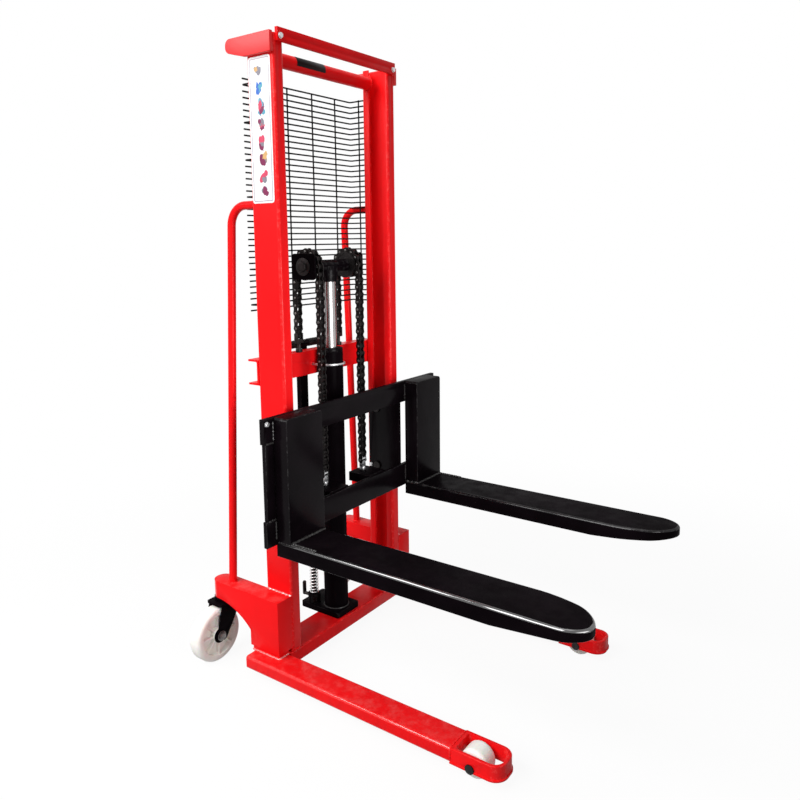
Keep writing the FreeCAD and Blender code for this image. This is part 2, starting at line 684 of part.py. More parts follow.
def push_handles():
    base = Vec(-HANDLE_FOOT_SETBACK, BRACKET_CENTRE, BRACKET_TOP)
    corner = Vec(-HANDLE_SETBACK, GUIDE_ROLLER_Y, HANDLE_END_HEIGHT)
    end = Vec(-COLUMN_DEPTH, GUIDE_ROLLER_Y, HANDLE_END_HEIGHT)
    lean = (corner - base).normalize()
    start = base - lean * HANDLE_RADIUS
    path = rounded_path([start, corner, end], [0, HANDLE_BEND, 0], False)
    tube = swept_tube(path, HANDLE_RADIUS, start, lean)
    bore = swept_tube(path, HANDLE_RADIUS - HANDLE_WALL, start, lean)
    side = 4 * HANDLE_RADIUS
    below = box(
        (base.x - side, base.x + side),
        (base.y - side, base.y + side),
        (base.z - side, base.z),
    )
    return both_sides(tube.cut(bore).cut(below))


def swivel_heads():
    centre = Vec(-CASTER_SETBACK, BRACKET_CENTRE, 0)
    head_bottom = YOKE_TOP + FACE_GAP
    nut_top = YOKE_BOTTOM - FACE_GAP
    head = rod(SWIVEL_HEAD_RADIUS, centre + Z_AXIS * head_bottom, centre + Z_AXIS * BRACKET_UNDERSIDE)
    pin = rod(KINGPIN_RADIUS, centre + Z_AXIS * (nut_top - KINGPIN_NUT), centre + Z_AXIS * head_bottom)
    nut = rod(KINGPIN_NUT_RADIUS, centre + Z_AXIS * (nut_top - KINGPIN_NUT), centre + Z_AXIS * nut_top)
    return both_sides(head.fuse([pin, nut]))


def caster_yoke(side):
    swivel = Vec(-CASTER_SETBACK, side * BRACKET_CENTRE, 0)
    axle = swivel + Vec(0, -CASTER_TRAIL, CASTER_WHEEL_RADIUS)
    plate_plan = rectangle(
        swivel.x - YOKE_OUTER,
        swivel.x + YOKE_OUTER,
        swivel.y - YOKE_BACK,
        swivel.y + YOKE_FRONT,
        YOKE_ROUND,
    )
    yoke = plan_prism(plate_plan, YOKE_BOTTOM, YOKE_TOP)
    eye_round = YOKE_EYE_RADIUS * 0.85
    arm_outline = [
        (swivel.y + YOKE_ARM_FRONT, YOKE_BOTTOM, 0),
        (swivel.y - YOKE_ARM_BACK, YOKE_BOTTOM, 0),
        (axle.y - YOKE_EYE_RADIUS, axle.z - YOKE_EYE_RADIUS, eye_round),
        (axle.y + YOKE_EYE_RADIUS, axle.z - YOKE_EYE_RADIUS, eye_round),
        (swivel.y + YOKE_ARM_FRONT, YOKE_BOTTOM - YOKE_ARM_SHOULDER, YOKE_ROUND),
    ]
    for low in (swivel.x + YOKE_INNER, swivel.x - YOKE_OUTER):
        yoke = yoke.fuse(front_prism(arm_outline, low, low + YOKE_ARM))
    axle_bore = rod(CASTER_AXLE_RADIUS + RUNNING_FIT, axle - X_AXIS * YOKE_OUTER, axle + X_AXIS * YOKE_OUTER)
    pin_bore = rod(KINGPIN_RADIUS + RUNNING_FIT, swivel + Z_AXIS * YOKE_BOTTOM, swivel + Z_AXIS * YOKE_TOP)
    yoke = yoke.cut(axle_bore).cut(pin_bore)
    bolt = rod(CASTER_AXLE_RADIUS, axle - X_AXIS * CASTER_AXLE_END, axle + X_AXIS * CASTER_AXLE_END)
    cover_start = CASTER_WHEEL_WIDTH / 2 + CASTER_HUB_PROUD + FACE_GAP
    for side in (-1, 1):
        along = X_AXIS * side
        head = rod(CASTER_AXLE_HEAD_RADIUS, axle + along * YOKE_OUTER, axle + along * CASTER_AXLE_END)
        cover = rod(CASTER_COVER_RADIUS, axle + along * cover_start, axle + along * YOKE_INNER)
        bolt = bolt.fuse([head, cover])
    return Part.makeCompound([yoke, bolt])


def caster_wheel(side):
    half = CASTER_WHEEL_WIDTH / 2
    hub_half = half + CASTER_HUB_PROUD
    web_half = CASTER_WEB / 2
    bore = CASTER_AXLE_RADIUS + RUNNING_FIT
    rim_inner = CASTER_WHEEL_RADIUS - CASTER_RIM
    outline = [
        (bore, -hub_half, 0),
        (CASTER_HUB_RADIUS, -hub_half, 0),
        (CASTER_HUB_RADIUS, -web_half, 0),
        (rim_inner, -web_half, 0),
        (rim_inner, -half, 0),
        (CASTER_WHEEL_RADIUS, -half, CASTER_TREAD_ROUND),
        (CASTER_WHEEL_RADIUS, half, CASTER_TREAD_ROUND),
        (rim_inner, half, 0),
        (rim_inner, web_half, 0),
        (CASTER_HUB_RADIUS, web_half, 0),
        (CASTER_HUB_RADIUS, hub_half, 0),
        (bore, hub_half, 0),
    ]
    centre = Vec(-CASTER_SETBACK, side * BRACKET_CENTRE - CASTER_TRAIL, CASTER_WHEEL_RADIUS)
    wheel = turned(outline, centre, X_AXIS)
    rib_half = half - CASTER_RIB_INSET
    span_x = (centre.x - rib_half, centre.x + rib_half)
    span_y = (centre.y - CASTER_RIB / 2, centre.y + CASTER_RIB / 2)
    overlap = CASTER_RIB / 2
    span_z = (centre.z + CASTER_HUB_RADIUS - overlap, centre.z + rim_inner + overlap)
    ribs = []
    for index in range(CASTER_RIB_COUNT):
        rib = box(span_x, span_y, span_z)
        rib.rotate(centre, X_AXIS, index * 360 / CASTER_RIB_COUNT)
        ribs.append(rib)
    return wheel.fuse(ribs).removeSplitter()


# Wire guard
def mesh_guard():
    half_wire = GUARD_WIRE / 2
    wing = COLUMN_OUTER - COLUMN_WIDTH + GUARD_WING_INSET
    back = -COLUMN_DEPTH - GUARD_DEPTH
    outer = [
        (-COLUMN_DEPTH, wing + half_wire, 0),
        (back - half_wire, wing + half_wire, 0),
        (back - half_wire, -wing - half_wire, 0),
        (-COLUMN_DEPTH, -wing - half_wire, 0),
        (-COLUMN_DEPTH, half_wire - wing, 0),
        (back + half_wire, half_wire - wing, 0),
        (back + half_wire, wing - half_wire, 0),
        (-COLUMN_DEPTH, wing - half_wire, 0),
    ]
    top = GUARD_BOTTOM + (GUARD_ROWS - 1) * GUARD_ROW_PITCH
    rows = []
    for row in range(GUARD_ROWS):
        height = GUARD_BOTTOM + row * GUARD_ROW_PITCH
        rows.append(plan_prism(outer, height - half_wire, height + half_wire))
    uprights = []
    span_z = (GUARD_BOTTOM - half_wire, top + half_wire)
    rear_face = back - half_wire + GUARD_SINK
    for column in range(GUARD_COLUMNS):
        centre = (column - (GUARD_COLUMNS - 1) / 2) * GUARD_COLUMN_PITCH
        uprights.append(box((rear_face - GUARD_WIRE, rear_face), (centre - half_wire, centre + half_wire), span_z))
    wing_face = wing - half_wire + GUARD_SINK
    end_x = -COLUMN_DEPTH - GUARD_END_INSET
    end = box((end_x - GUARD_WIRE, end_x), (wing_face - GUARD_WIRE, wing_face), span_z)
    uprights.append(end)
    uprights.append(other_side(end))
    return uprights[0].fuse(uprights[1:] + rows)


# Lift cylinder and hand pump
def cylinder_point(height):
    """Point on the axis of the lift cylinder."""
    return Vec(CYLINDER_X, 0, height)


def lift_cylinder():
    outer = rod(CYLINDER_RADIUS, cylinder_point(BASE_PLATE_TOP), cylinder_point(CYLINDER_TOP))
    return outer.cut(rod(CYLINDER_BORE_RADIUS, cylinder_point(BASE_PLATE_TOP), cylinder_point(CYLINDER_TOP)))


def cylinder_gland():
    bore = ROD_RADIUS + RUNNING_FIT
    spigot = CYLINDER_BORE_RADIUS - RUNNING_FIT
    outline = [
        (bore, -GLAND_SPIGOT, 0),
        (spigot, -GLAND_SPIGOT, 0),
        (spigot, 0, 0),
        (CYLINDER_RADIUS, 0, 0),
        (CYLINDER_RADIUS, GLAND_HEIGHT - GLAND_CHAMFER, 0),
        (CYLINDER_RADIUS - GLAND_CHAMFER, GLAND_HEIGHT, 0),
        (bore, GLAND_HEIGHT, 0),
    ]
    return turned(outline, cylinder_point(CYLINDER_TOP), Z_AXIS)


def pump_base_plate():
    half = BASE_PLATE_WIDTH / 2
    rear = -BASE_PLATE_FRONT - BASE_PLATE_LENGTH
    return plan_prism(
        rectangle(rear, -BASE_PLATE_FRONT, -half, half, BASE_PLATE_ROUND), BEAM_TOP, BASE_PLATE_TOP
    )


def cylinder_u_bolt():
    height = CHANNEL_TOP - CLAMP_DROP
    hoop = CYLINDER_RADIUS + CLAMP_WIRE_RADIUS + FACE_GAP
    web = -COLUMN_DEPTH - CHANNEL_WALL
    tail = web - CLAMP_TAIL
    start = Vec(tail, -hoop, height)
    corners = [
        start,
        Vec(CYLINDER_X, -hoop, height),
        Vec(CYLINDER_X, hoop, height),
        Vec(tail, hoop, height),
    ]
    bend = Part.Arc(corners[1], Vec(CYLINDER_X + hoop, 0, height), corners[2]).toShape()
    legs = [Part.LineSegment(corners[0], corners[1]).toShape(), Part.LineSegment(corners[2], corners[3]).toShape()]
    path = Part.Wire([legs[0], bend, legs[1]])
    bolt = swept_tube(path, CLAMP_WIRE_RADIUS, start, X_AXIS)
    for side in (-1, 1):
        seat = Vec(web, side * hoop, height)
        bolt = bolt.fuse(rod(CLAMP_NUT_RADIUS, seat - X_AXIS * CLAMP_NUT, seat))
    return bolt


def pump_point(height):
    """Point on the axis of the pump plunger."""
    return Vec(-PUMP_SETBACK, PUMP_OFFSET, height)


def pump_body():
    body = rod(PUMP_BODY_RADIUS, pump_point(BASE_PLATE_TOP), pump_point(PUMP_TOP))
    bore_bottom = pump_point(PUMP_TOP - PLUNGER_DEPTH)
    body = body.cut(rod(PLUNGER_RADIUS + RUNNING_FIT, bore_bottom, pump_point(PUMP_TOP)))
    port = pump_point(BASE_PLATE_TOP + VALVE_HEIGHT)
    deep = PUMP_BODY_RADIUS - PLUNGER_RADIUS
    bore = rod(VALVE_STEM_RADIUS + RUNNING_FIT, port - X_AXIS * deep, port - X_AXIS * PUMP_BODY_RADIUS)
    return body.cut(bore)


def pump_plunger():
    stem = rod(PLUNGER_RADIUS, pump_point(PUMP_TOP - PLUNGER_ENGAGED), pump_point(PLUNGER_CAP_BOTTOM))
    cap = rod(PLUNGER_CAP_RADIUS, pump_point(PLUNGER_CAP_BOTTOM), pump_point(PLUNGER_CAP_TOP))
    return stem.fuse(cap)


def helix_frame(angle, rise):
    """Point and direction of the spring wire's centre line at an angle."""
    turn = Vec(math.cos(angle), math.sin(angle), 0)
    along = Vec(-math.sin(angle), math.cos(angle), 0) * SPRING_RADIUS + Z_AXIS * rise
    return turn * SPRING_RADIUS + Z_AXIS * (rise * angle), along.normalize()


def tangent_arc(start, meeting, end):
    """Arc between two points whose end tangents meet at a third."""
    chord_middle = (start + end) * 0.5
    half_chord = (end - start).Length / 2
    outward = meeting - chord_middle
    half_angle = math.atan2(outward.Length, half_chord)
    middle = chord_middle + outward.normalize() * (half_chord * math.tan(half_angle / 2))
    return Part.Arc(start, middle, end).toShape()


def biarc(start, start_way, end, end_way):
    """Two tangent arcs from one point and direction to another."""
    span = end - start
    ways = start_way + end_way
    quadratic = 2 * (start_way.dot(end_way) - 1)
    linear = -2 * span.dot(ways)
    root = math.sqrt(linear * linear - 4 * quadratic * span.dot(span))
    reach = (-linear - root) / (2 * quadratic)
    if reach < 0:
        reach = (-linear + root) / (2 * quadratic)
    first_meeting = start + start_way * reach
    second_meeting = end - end_way * reach
    joint = (first_meeting + second_meeting) * 0.5
    return [tangent_arc(start, first_meeting, joint), tangent_arc(joint, second_meeting, end)]


def plunger_spring():
    wire_span = SPRING_LENGTH - 2 * SPRING_WIRE_RADIUS - 2 * FACE_GAP
    rise = wire_span / (SPRING_TURNS * 2 * math.pi)
    edges = []
    steps = SPRING_TURNS * 4
    for step in range(steps):
        start, start_way = helix_frame(step * math.pi / 2, rise)
        end, end_way = helix_frame((step + 1) * math.pi / 2, rise)
        edges.extend(biarc(start, start_way, end, end_way))
    first, first_way = helix_frame(0, rise)
    wire = swept_tube(Part.Wire(edges), SPRING_WIRE_RADIUS, first, first_way)
    wire.translate(pump_point(PUMP_TOP + SPRING_WIRE_RADIUS + FACE_GAP))
    samples = [helix_frame(step * math.pi / 24, rise)[0] for step in range(48 * SPRING_TURNS)]
    least = min(
        (samples[late] - samples[early]).Length
        for early in range(0, len(samples), 8)
        for late in range(early + 24, min(early + 72, len(samples)))
    )
    print("spring: least gap between turns %.2f mm" % (least - 2 * SPRING_WIRE_RADIUS))
    return wire


def lever_bracket():
    pin_y = PUMP_OFFSET - LEVER_HUB_WIDTH / 2 - FACE_GAP
    centre = Vec(LEVER_PIVOT_X, 0, LEVER_PIVOT_Z)
    half = LUG_THICK / 2
    lug_outline = [
        (CYLINDER_X, LEVER_PIVOT_Z - 2 * LUG_ROUND, 0),
        (LEVER_PIVOT_X - LUG_ROUND, LEVER_PIVOT_Z - LUG_ROUND, LUG_ROUND / 2),
        (LEVER_PIVOT_X - LUG_ROUND, LEVER_PIVOT_Z + LUG_ROUND, LUG_ROUND * 0.9),
        (CYLINDER_X, LEVER_PIVOT_Z + LUG_ROUND, 0),
    ]
    lug = side_prism(lug_outline, -half, half)
    barrel = rod(CYLINDER_RADIUS, cylinder_point(BASE_PLATE_TOP), cylinder_point(CYLINDER_TOP))
    pin = rod(LEVER_PIN_RADIUS, centre + Y_AXIS * pin_y, centre)
    return lug.cut(barrel).fuse(pin)


def pump_lever():
    low_y = PUMP_OFFSET - LEVER_HUB_WIDTH / 2
    high_y = PUMP_OFFSET + LEVER_HUB_WIDTH / 2
    pivot = Vec(LEVER_PIVOT_X, 0, LEVER_PIVOT_Z)
    nose_z = PLUNGER_CAP_TOP + FACE_GAP + LEVER_NOSE_RADIUS
    tube_rear = LEVER_TUBE_FRONT - LEVER_TUBE_DEPTH
    arm_outline = [
        (LEVER_PIVOT_X + LEVER_HUB_RADIUS, LEVER_PIVOT_Z - LEVER_HUB_RADIUS, LEVER_HUB_RADIUS * 0.9),
        (LEVER_PIVOT_X + LEVER_HUB_RADIUS, LEVER_PIVOT_Z + LEVER_HUB_RADIUS, LEVER_HUB_RADIUS * 0.9),
        (LEVER_TUBE_FRONT, LEVER_PIVOT_Z + LEVER_HUB_RADIUS, 0),
        (LEVER_TUBE_FRONT, LEVER_PIVOT_Z + 3 * LEVER_HUB_RADIUS, 0),
        (tube_rear, LEVER_PIVOT_Z + 3 * LEVER_HUB_RADIUS, 0),
        (tube_rear, LEVER_PIVOT_Z + LEVER_HUB_RADIUS, 0),
        (-PUMP_SETBACK, nose_z, 0),
        (-PUMP_SETBACK, LEVER_PIVOT_Z - LEVER_HUB_RADIUS, 0),
    ]
    arm = side_prism(arm_outline, low_y, high_y)
    nose_start = Vec(-PUMP_SETBACK, low_y, nose_z)
    nose = rod(LEVER_NOSE_RADIUS, nose_start, nose_start + Y_AXIS * LEVER_HUB_WIDTH)
    tube_low = PUMP_OFFSET - LEVER_TUBE_WIDTH / 2
    tube_high = PUMP_OFFSET + LEVER_TUBE_WIDTH / 2
    tube_plan = rectangle(tube_rear, LEVER_TUBE_FRONT, tube_low, tube_high, LEVER_TUBE_ROUND)
    tube = plan_prism(tube_plan, LEVER_PIVOT_Z + LEVER_HUB_RADIUS, LEVER_TOP)
    grip_centre = Vec(LEVER_TUBE_FRONT - LEVER_TUBE_DEPTH / 2, PUMP_OFFSET, LEVER_TOP)
    grip_half = Y_AXIS * (LEVER_GRIP_LENGTH / 2)
    grip = rod(LEVER_GRIP_RADIUS, grip_centre - grip_half, grip_centre + grip_half)
    bore = rod(LEVER_PIN_RADIUS + RUNNING_FIT, pivot + Y_AXIS * low_y, pivot + Y_AXIS * high_y)
    return arm.fuse([nose, tube, grip]).cut(bore)


def release_valve():
    port = pump_point(BASE_PLATE_TOP + VALVE_HEIGHT)
    inner = port - X_AXIS * (PUMP_BODY_RADIUS - PLUNGER_RADIUS + FACE_GAP)
    outer = port - X_AXIS * (PUMP_BODY_RADIUS + VALVE_STEM_LENGTH)
    stem = rod(VALVE_STEM_RADIUS, inner, outer)
    half = VALVE_HANDLE_WIDTH / 2
    handle_outline = rectangle(
        outer.y - half,
        outer.y + half,
        outer.z - half,
        outer.z - half + VALVE_HANDLE_LENGTH,
        half * 0.95,
    )
    return stem.fuse(front_prism(handle_outline, outer.x - VALVE_HANDLE_THICK, outer.x))


# Lifting head
def piston_rod():
    top = WHEEL_HEIGHT - SOCKET_DROP + SOCKET_DEPTH
    bottom = BASE_PLATE_TOP + PISTON_REST
    stem = rod(ROD_RADIUS, cylinder_point(bottom), cylinder_point(top))
    piston = rod(CYLINDER_BORE_RADIUS - RUNNING_FIT, cylinder_point(bottom), cylinder_point(bottom + PISTON_HEIGHT))
    return stem.fuse(piston)


def crosshead():
    half = CHAIN_OFFSET - WHEEL_WIDTH / 2 - FACE_GAP
    centre = cylinder_point(WHEEL_HEIGHT)
    tube = rod(CROSSHEAD_RADIUS, centre - Y_AXIS * half, centre + Y_AXIS * half)
    socket = rod(SOCKET_RADIUS, centre - Z_AXIS * SOCKET_DROP, centre)
    seat_bottom = centre - Z_AXIS * SOCKET_DROP
    seat = rod(ROD_RADIUS + RUNNING_FIT, seat_bottom, seat_bottom + Z_AXIS * SOCKET_DEPTH)
    bore = rod(WHEEL_AXLE_RADIUS + RUNNING_FIT, centre - Y_AXIS * half, centre + Y_AXIS * half)
    return tube.fuse(socket).cut(seat).cut(bore)


def wheel_side():
    """Distance from the centre to the outer face of a chain wheel."""
    return CHAIN_OFFSET + WHEEL_WIDTH / 2


def wheel_axle():
    centre = cylinder_point(WHEEL_HEIGHT)
    seat = wheel_side() + FACE_GAP + CHEEK_THICK
    axle = rod(WHEEL_AXLE_RADIUS, centre - Y_AXIS * seat, centre + Y_AXIS * seat)
    for side in (-1, 1):
        along = Y_AXIS * side
        washer = rod(WHEEL_WASHER_RADIUS, centre + along * seat, centre + along * (seat + WHEEL_WASHER))
        nut = rod(WHEEL_NUT_RADIUS, centre + along * seat, centre + along * (seat + WHEEL_NUT))
        axle = axle.fuse([washer, nut])
    return axle


def wheel_cheeks():
    low = wheel_side() + FACE_GAP
    half = CHEEK_WIDTH / 2
    rise = CHEEK_HEIGHT / 2
    outline = rectangle(
        CYLINDER_X - half, CYLINDER_X + half, WHEEL_HEIGHT - rise, WHEEL_HEIGHT + rise, CHEEK_ROUND
    )
    plate = side_prism(outline, low, low + CHEEK_THICK)
    centre = cylinder_point(WHEEL_HEIGHT)
    hole = rod(WHEEL_AXLE_RADIUS + RUNNING_FIT, centre, centre + Y_AXIS * (low + CHEEK_THICK))
    return both_sides(plate.cut(hole))


def chain_wheel():
    half = WHEEL_WIDTH / 2
    groove_half = half - WHEEL_FLANGE
    bore = WHEEL_AXLE_RADIUS + RUNNING_FIT
    link_middle = WHEEL_PITCH_RADIUS * math.cos(math.pi / (2 * CHAIN_WRAP_LINKS))
    floor = link_middle - CHAIN_PLATE_HEIGHT / 2 - FACE_GAP
    face = half - WHEEL_FACE_RECESS
    rim = WHEEL_FLANGE_RADIUS - 2 * WHEEL_FLANGE
    outline = [
        (bore, -half, 0),
        (WHEEL_HUB_RADIUS, -half, 0),
        (WHEEL_HUB_RADIUS, -face, 0),
        (rim, -face, 0),
        (rim, -half, 0),
        (WHEEL_FLANGE_RADIUS, -half, 0),
        (WHEEL_FLANGE_RADIUS, -groove_half, 0),
        (floor, -groove_half, 0),
        (floor, groove_half, 0),
        (WHEEL_FLANGE_RADIUS, groove_half, 0),
        (WHEEL_FLANGE_RADIUS, half, 0),
        (rim, half, 0),
        (rim, face, 0),
        (WHEEL_HUB_RADIUS, face, 0),
        (WHEEL_HUB_RADIUS, half, 0),
        (bore, half, 0),
    ]
    return turned(outline, Vec(CYLINDER_X, CHAIN_OFFSET, WHEEL_HEIGHT), Y_AXIS)


# Roller chain
def link_plate(start, end, layer):
    """One chain plate between two pins, on both sides of the chain."""
    along = (end - start).normalize()
    across = Vec(along.z, 0, -along.x)
    half = CHAIN_PLATE_HEIGHT / 2
    tip = half / 2
    corners = [
        start - along * CHAIN_PLATE_END + across * tip,
        start - along * tip + across * half,
        end + along * tip + across * half,
        end + along * CHAIN_PLATE_END + across * tip,
        end + along * CHAIN_PLATE_END - across * tip,
        end + along * tip - across * half,
        start - along * tip - across * half,
        start - along * CHAIN_PLATE_END - across * tip,
    ]
    low = CHAIN_INNER_WIDTH / 2 + layer * CHAIN_PLATE_THICK
    plates = []
    for base in (low, -low - CHAIN_PLATE_THICK):
        moved = [corner + Y_AXIS * base for corner in corners]
        plates.append(prism(moved, [0] * len(moved), Y_AXIS * CHAIN_PLATE_THICK))
    return plates


def chain_roller(centre):
    """Roller on one chain pin, as an eight-sided bar."""
    corners = []
    for index in range(8):
        angle = (index + 0.5) * math.pi / 4
        offset = Vec(math.cos(angle), 0, math.sin(angle)) * CHAIN_ROLLER_RADIUS
        corners.append(centre + offset - Y_AXIS * (CHAIN_INNER_WIDTH / 2))
    return prism(corners, [0] * len(corners), Y_AXIS * CHAIN_INNER_WIDTH)


def chain_run(pins, first_layer, rollers_at, end_pin):
    """Links between successive pins, with rollers at the named ones, on both chains."""
    pieces = []
    for index in range(len(pins) - 1):
        pieces.extend(link_plate(pins[index], pins[index + 1], (first_layer + index) % 2))
    for index in rollers_at:
        pieces.append(chain_roller(pins[index]))
    if end_pin:
        half = Y_AXIS * (CHAIN_INNER_WIDTH / 2 + 2 * CHAIN_PLATE_THICK)
        pieces.append(rod(CHAIN_PIN_RADIUS, pins[-1] - half, pins[-1] + half))
    run = pieces[0].fuse(pieces[1:])
    run.translate(Y_AXIS * CHAIN_OFFSET)
    return both_sides(run)


def strand_pins(x, links):
    """Pins of a straight strand that hangs from the wheel's height."""
    return [Vec(x, 0, WHEEL_HEIGHT - index * CHAIN_PITCH) for index in range(links + 1)]


def chain_fronts():
    """Front strands: they end in outer links, with a pin through the anchor's eye."""
    pins = strand_pins(CHAIN_FRONT_X, CHAIN_FRONT_LINKS)
    return chain_run(pins, 1, range(1, CHAIN_FRONT_LINKS), True)


def chain_rears():
    """Rear strands: they end in inner links, between the cheeks of a clevis."""
    pins = strand_pins(CHAIN_REAR_X, CHAIN_REAR_LINKS)
    return chain_run(pins, 0, range(1, CHAIN_REAR_LINKS + 1), False)


def chain_wraps():
    pins = []
    for index in range(CHAIN_WRAP_LINKS + 1):
        angle = index * math.pi / CHAIN_WRAP_LINKS
        offset = Vec(math.cos(angle), 0, math.sin(angle)) * WHEEL_PITCH_RADIUS
        pins.append(cylinder_point(WHEEL_HEIGHT) + offset)
    return chain_run(pins, 0, range(CHAIN_WRAP_LINKS), False)


def anchor_stud(x, seat, top):
    """Stud and nut under the eye of a chain anchor."""
    foot = Vec(x, CHAIN_OFFSET, seat)
    stud = rod(ANCHOR_STUD_RADIUS, foot, Vec(x, CHAIN_OFFSET, top))
    return stud.fuse(rod(ANCHOR_NUT_RADIUS, foot, foot + Z_AXIS * ANCHOR_NUT))


def front_chain_anchors():
    """Eyes between the last outer plates of the front strands."""
    half = CHAIN_INNER_WIDTH / 2 + CHAIN_PLATE_THICK - FACE_GAP
    deep = ANCHOR_EYE_WIDTH / 2
    low = CHAIN_FRONT_END - ANCHOR_EYE_HEIGHT
    span_x = (CHAIN_FRONT_X - deep, CHAIN_FRONT_X + deep)
    span_y = (CHAIN_OFFSET - half, CHAIN_OFFSET + half)
    eye = box(span_x, span_y, (low, CHAIN_FRONT_END + ANCHOR_EYE_TOP))
    pin = Vec(CHAIN_FRONT_X, CHAIN_OFFSET, CHAIN_FRONT_END)
    eye = eye.cut(rod(CHAIN_PIN_RADIUS + FACE_GAP, pin - Y_AXIS * half, pin + Y_AXIS * half))
    return both_sides(eye.fuse(anchor_stud(CHAIN_FRONT_X, ANCHOR_BLOCK_TOP, low)))


def rear_chain_anchors():
    """Clevises round the last inner plates of the rear strands."""
    slot = CHAIN_INNER_WIDTH / 2 + CHAIN_PLATE_THICK + FACE_GAP
    half = slot + ANCHOR_WALL
    deep = ANCHOR_EYE_WIDTH / 2
    low = CHAIN_REAR_END - ANCHOR_EYE_HEIGHT
    top = CHAIN_REAR_END + ANCHOR_EYE_TOP
    span_x = (CHAIN_REAR_X - deep, CHAIN_REAR_X + deep)
    clevis = box(span_x, (CHAIN_OFFSET - half, CHAIN_OFFSET + half), (low, top))
    floor = CHAIN_REAR_END - CHAIN_PLATE_END - FACE_GAP
    clevis = clevis.cut(box(span_x, (CHAIN_OFFSET - slot, CHAIN_OFFSET + slot), (floor, top)))
    return both_sides(clevis.fuse(anchor_stud(CHAIN_REAR_X, CHANNEL_TOP, low)))


# Carriage
def fork():
    tip_plan = [
        (UPRIGHT_BACK, FORK_INNER, 0),
        (FORK_TIP, FORK_INNER, FORK_TIP_ROUND),
        (FORK_TIP, FORK_OUTER, FORK_TIP_ROUND),
        (UPRIGHT_BACK, FORK_OUTER, 0),
    ]
    blade = plan_prism(tip_plan, FORK_BOTTOM, FORK_TOP)
    rim = [edge for edge in blade.Edges if edge.BoundBox.ZMin > FORK_TOP - PICK_MARGIN]
    long_rim = [edge for edge in rim if edge.BoundBox.XMax > UPRIGHT_BACK + PICK_MARGIN]
    blade = blade.makeFillet(FORK_EDGE, long_rim)
    hollow_plan = [
        (UPRIGHT_BACK, FORK_INNER + FORK_WALL, 0),
        (FORK_TIP - FORK_WALL, FORK_INNER + FORK_WALL, FORK_TIP_ROUND - FORK_WALL),
        (FORK_TIP - FORK_WALL, FORK_OUTER - FORK_WALL, FORK_TIP_ROUND - FORK_WALL),
        (UPRIGHT_BACK, FORK_OUTER - FORK_WALL, 0),
    ]
    blade = blade.cut(plan_prism(hollow_plan, FORK_BOTTOM, FORK_TOP - FORK_WALL))
    taper = [
        (FORK_TIP - FORK_TAPER_LENGTH, FORK_BOTTOM, 0),
        (FORK_TIP, FORK_BOTTOM + FORK_TAPER_RISE, 0),
        (FORK_TIP, FORK_BOTTOM, 0),
    ]
    blade = blade.cut(side_prism(taper, FORK_INNER, FORK_OUTER))
    seat_x = (UPRIGHT_BACK, UPRIGHT_BACK + UPRIGHT_DEPTH)
    return blade.cut(box(seat_x, (FORK_INNER, FORK_OUTER), (FORK_TOP - UPRIGHT_SEAT, FORK_TOP)))


def fork_upright():
    front = UPRIGHT_BACK + UPRIGHT_DEPTH
    bottom = FORK_TOP - UPRIGHT_SEAT
    outer = [
        (FORK_INNER, bottom, 0),
        (FORK_OUTER, bottom, 0),
        (FORK_OUTER, UPRIGHT_TOP, UPRIGHT_ROUND),
        (FORK_INNER, UPRIGHT_TOP, UPRIGHT_ROUND),
    ]
    inner_round = UPRIGHT_ROUND - UPRIGHT_WALL
    hollow = [
        (FORK_INNER + UPRIGHT_WALL, bottom, 0),
        (FORK_OUTER - UPRIGHT_WALL, bottom, 0),
        (FORK_OUTER - UPRIGHT_WALL, UPRIGHT_TOP - UPRIGHT_WALL, inner_round),
        (FORK_INNER + UPRIGHT_WALL, UPRIGHT_TOP - UPRIGHT_WALL, inner_round),
    ]
    shell = front_prism(outer, UPRIGHT_BACK, front)
    return shell.cut(front_prism(hollow, UPRIGHT_BACK + UPRIGHT_WALL, front - UPRIGHT_WALL))


def carriage_bar(bottom, height):
    """Flat bar across the carriage, behind the uprights."""
    half = BAR_LENGTH / 2
    return box((BAR_BACK, UPRIGHT_BACK), (-half, half), (bottom, bottom + height))


def upper_carriage_bar():
    bar = carriage_bar(UPPER_BAR_BOTTOM, UPPER_BAR_HEIGHT)
    start = Vec(BAR_BACK, BAR_LENGTH / 2 - STOP_BOLT_INSET, UPRIGHT_TOP - STOP_BOLT_INSET)
    hole = rod(CARRIAGE_BOLT_RADIUS + RUNNING_FIT, start, start + X_AXIS * BAR_THICK)
    return bar.cut(hole).cut(other_side(hole))


def lower_carriage_bar():
    return carriage_bar(LOWER_BAR_BOTTOM, LOWER_BAR_HEIGHT)


def carriage_end_strips():
    outer = BAR_LENGTH / 2 - STRIP_INSET
    return both_sides(
        box((BAR_BACK, UPRIGHT_BACK), (outer - STRIP_WIDTH, outer), (LOWER_BAR_TOP, UPPER_BAR_BOTTOM))
    )


def guide_roller_heights():
    """Heights of the lower and upper guide rollers."""
    return FORK_TOP + GUIDE_ROLLER_LOWER_RISE, FORK_TOP + GUIDE_ROLLER_UPPER_RISE


def side_bolt_place():
    """Place of the bolt through a roller plate's rear edge."""
    return Vec(1.2 * CARRIAGE_BOLT_HEAD_RADIUS - ROLLER_PLATE_REAR, 0, guide_roller_heights()[0])


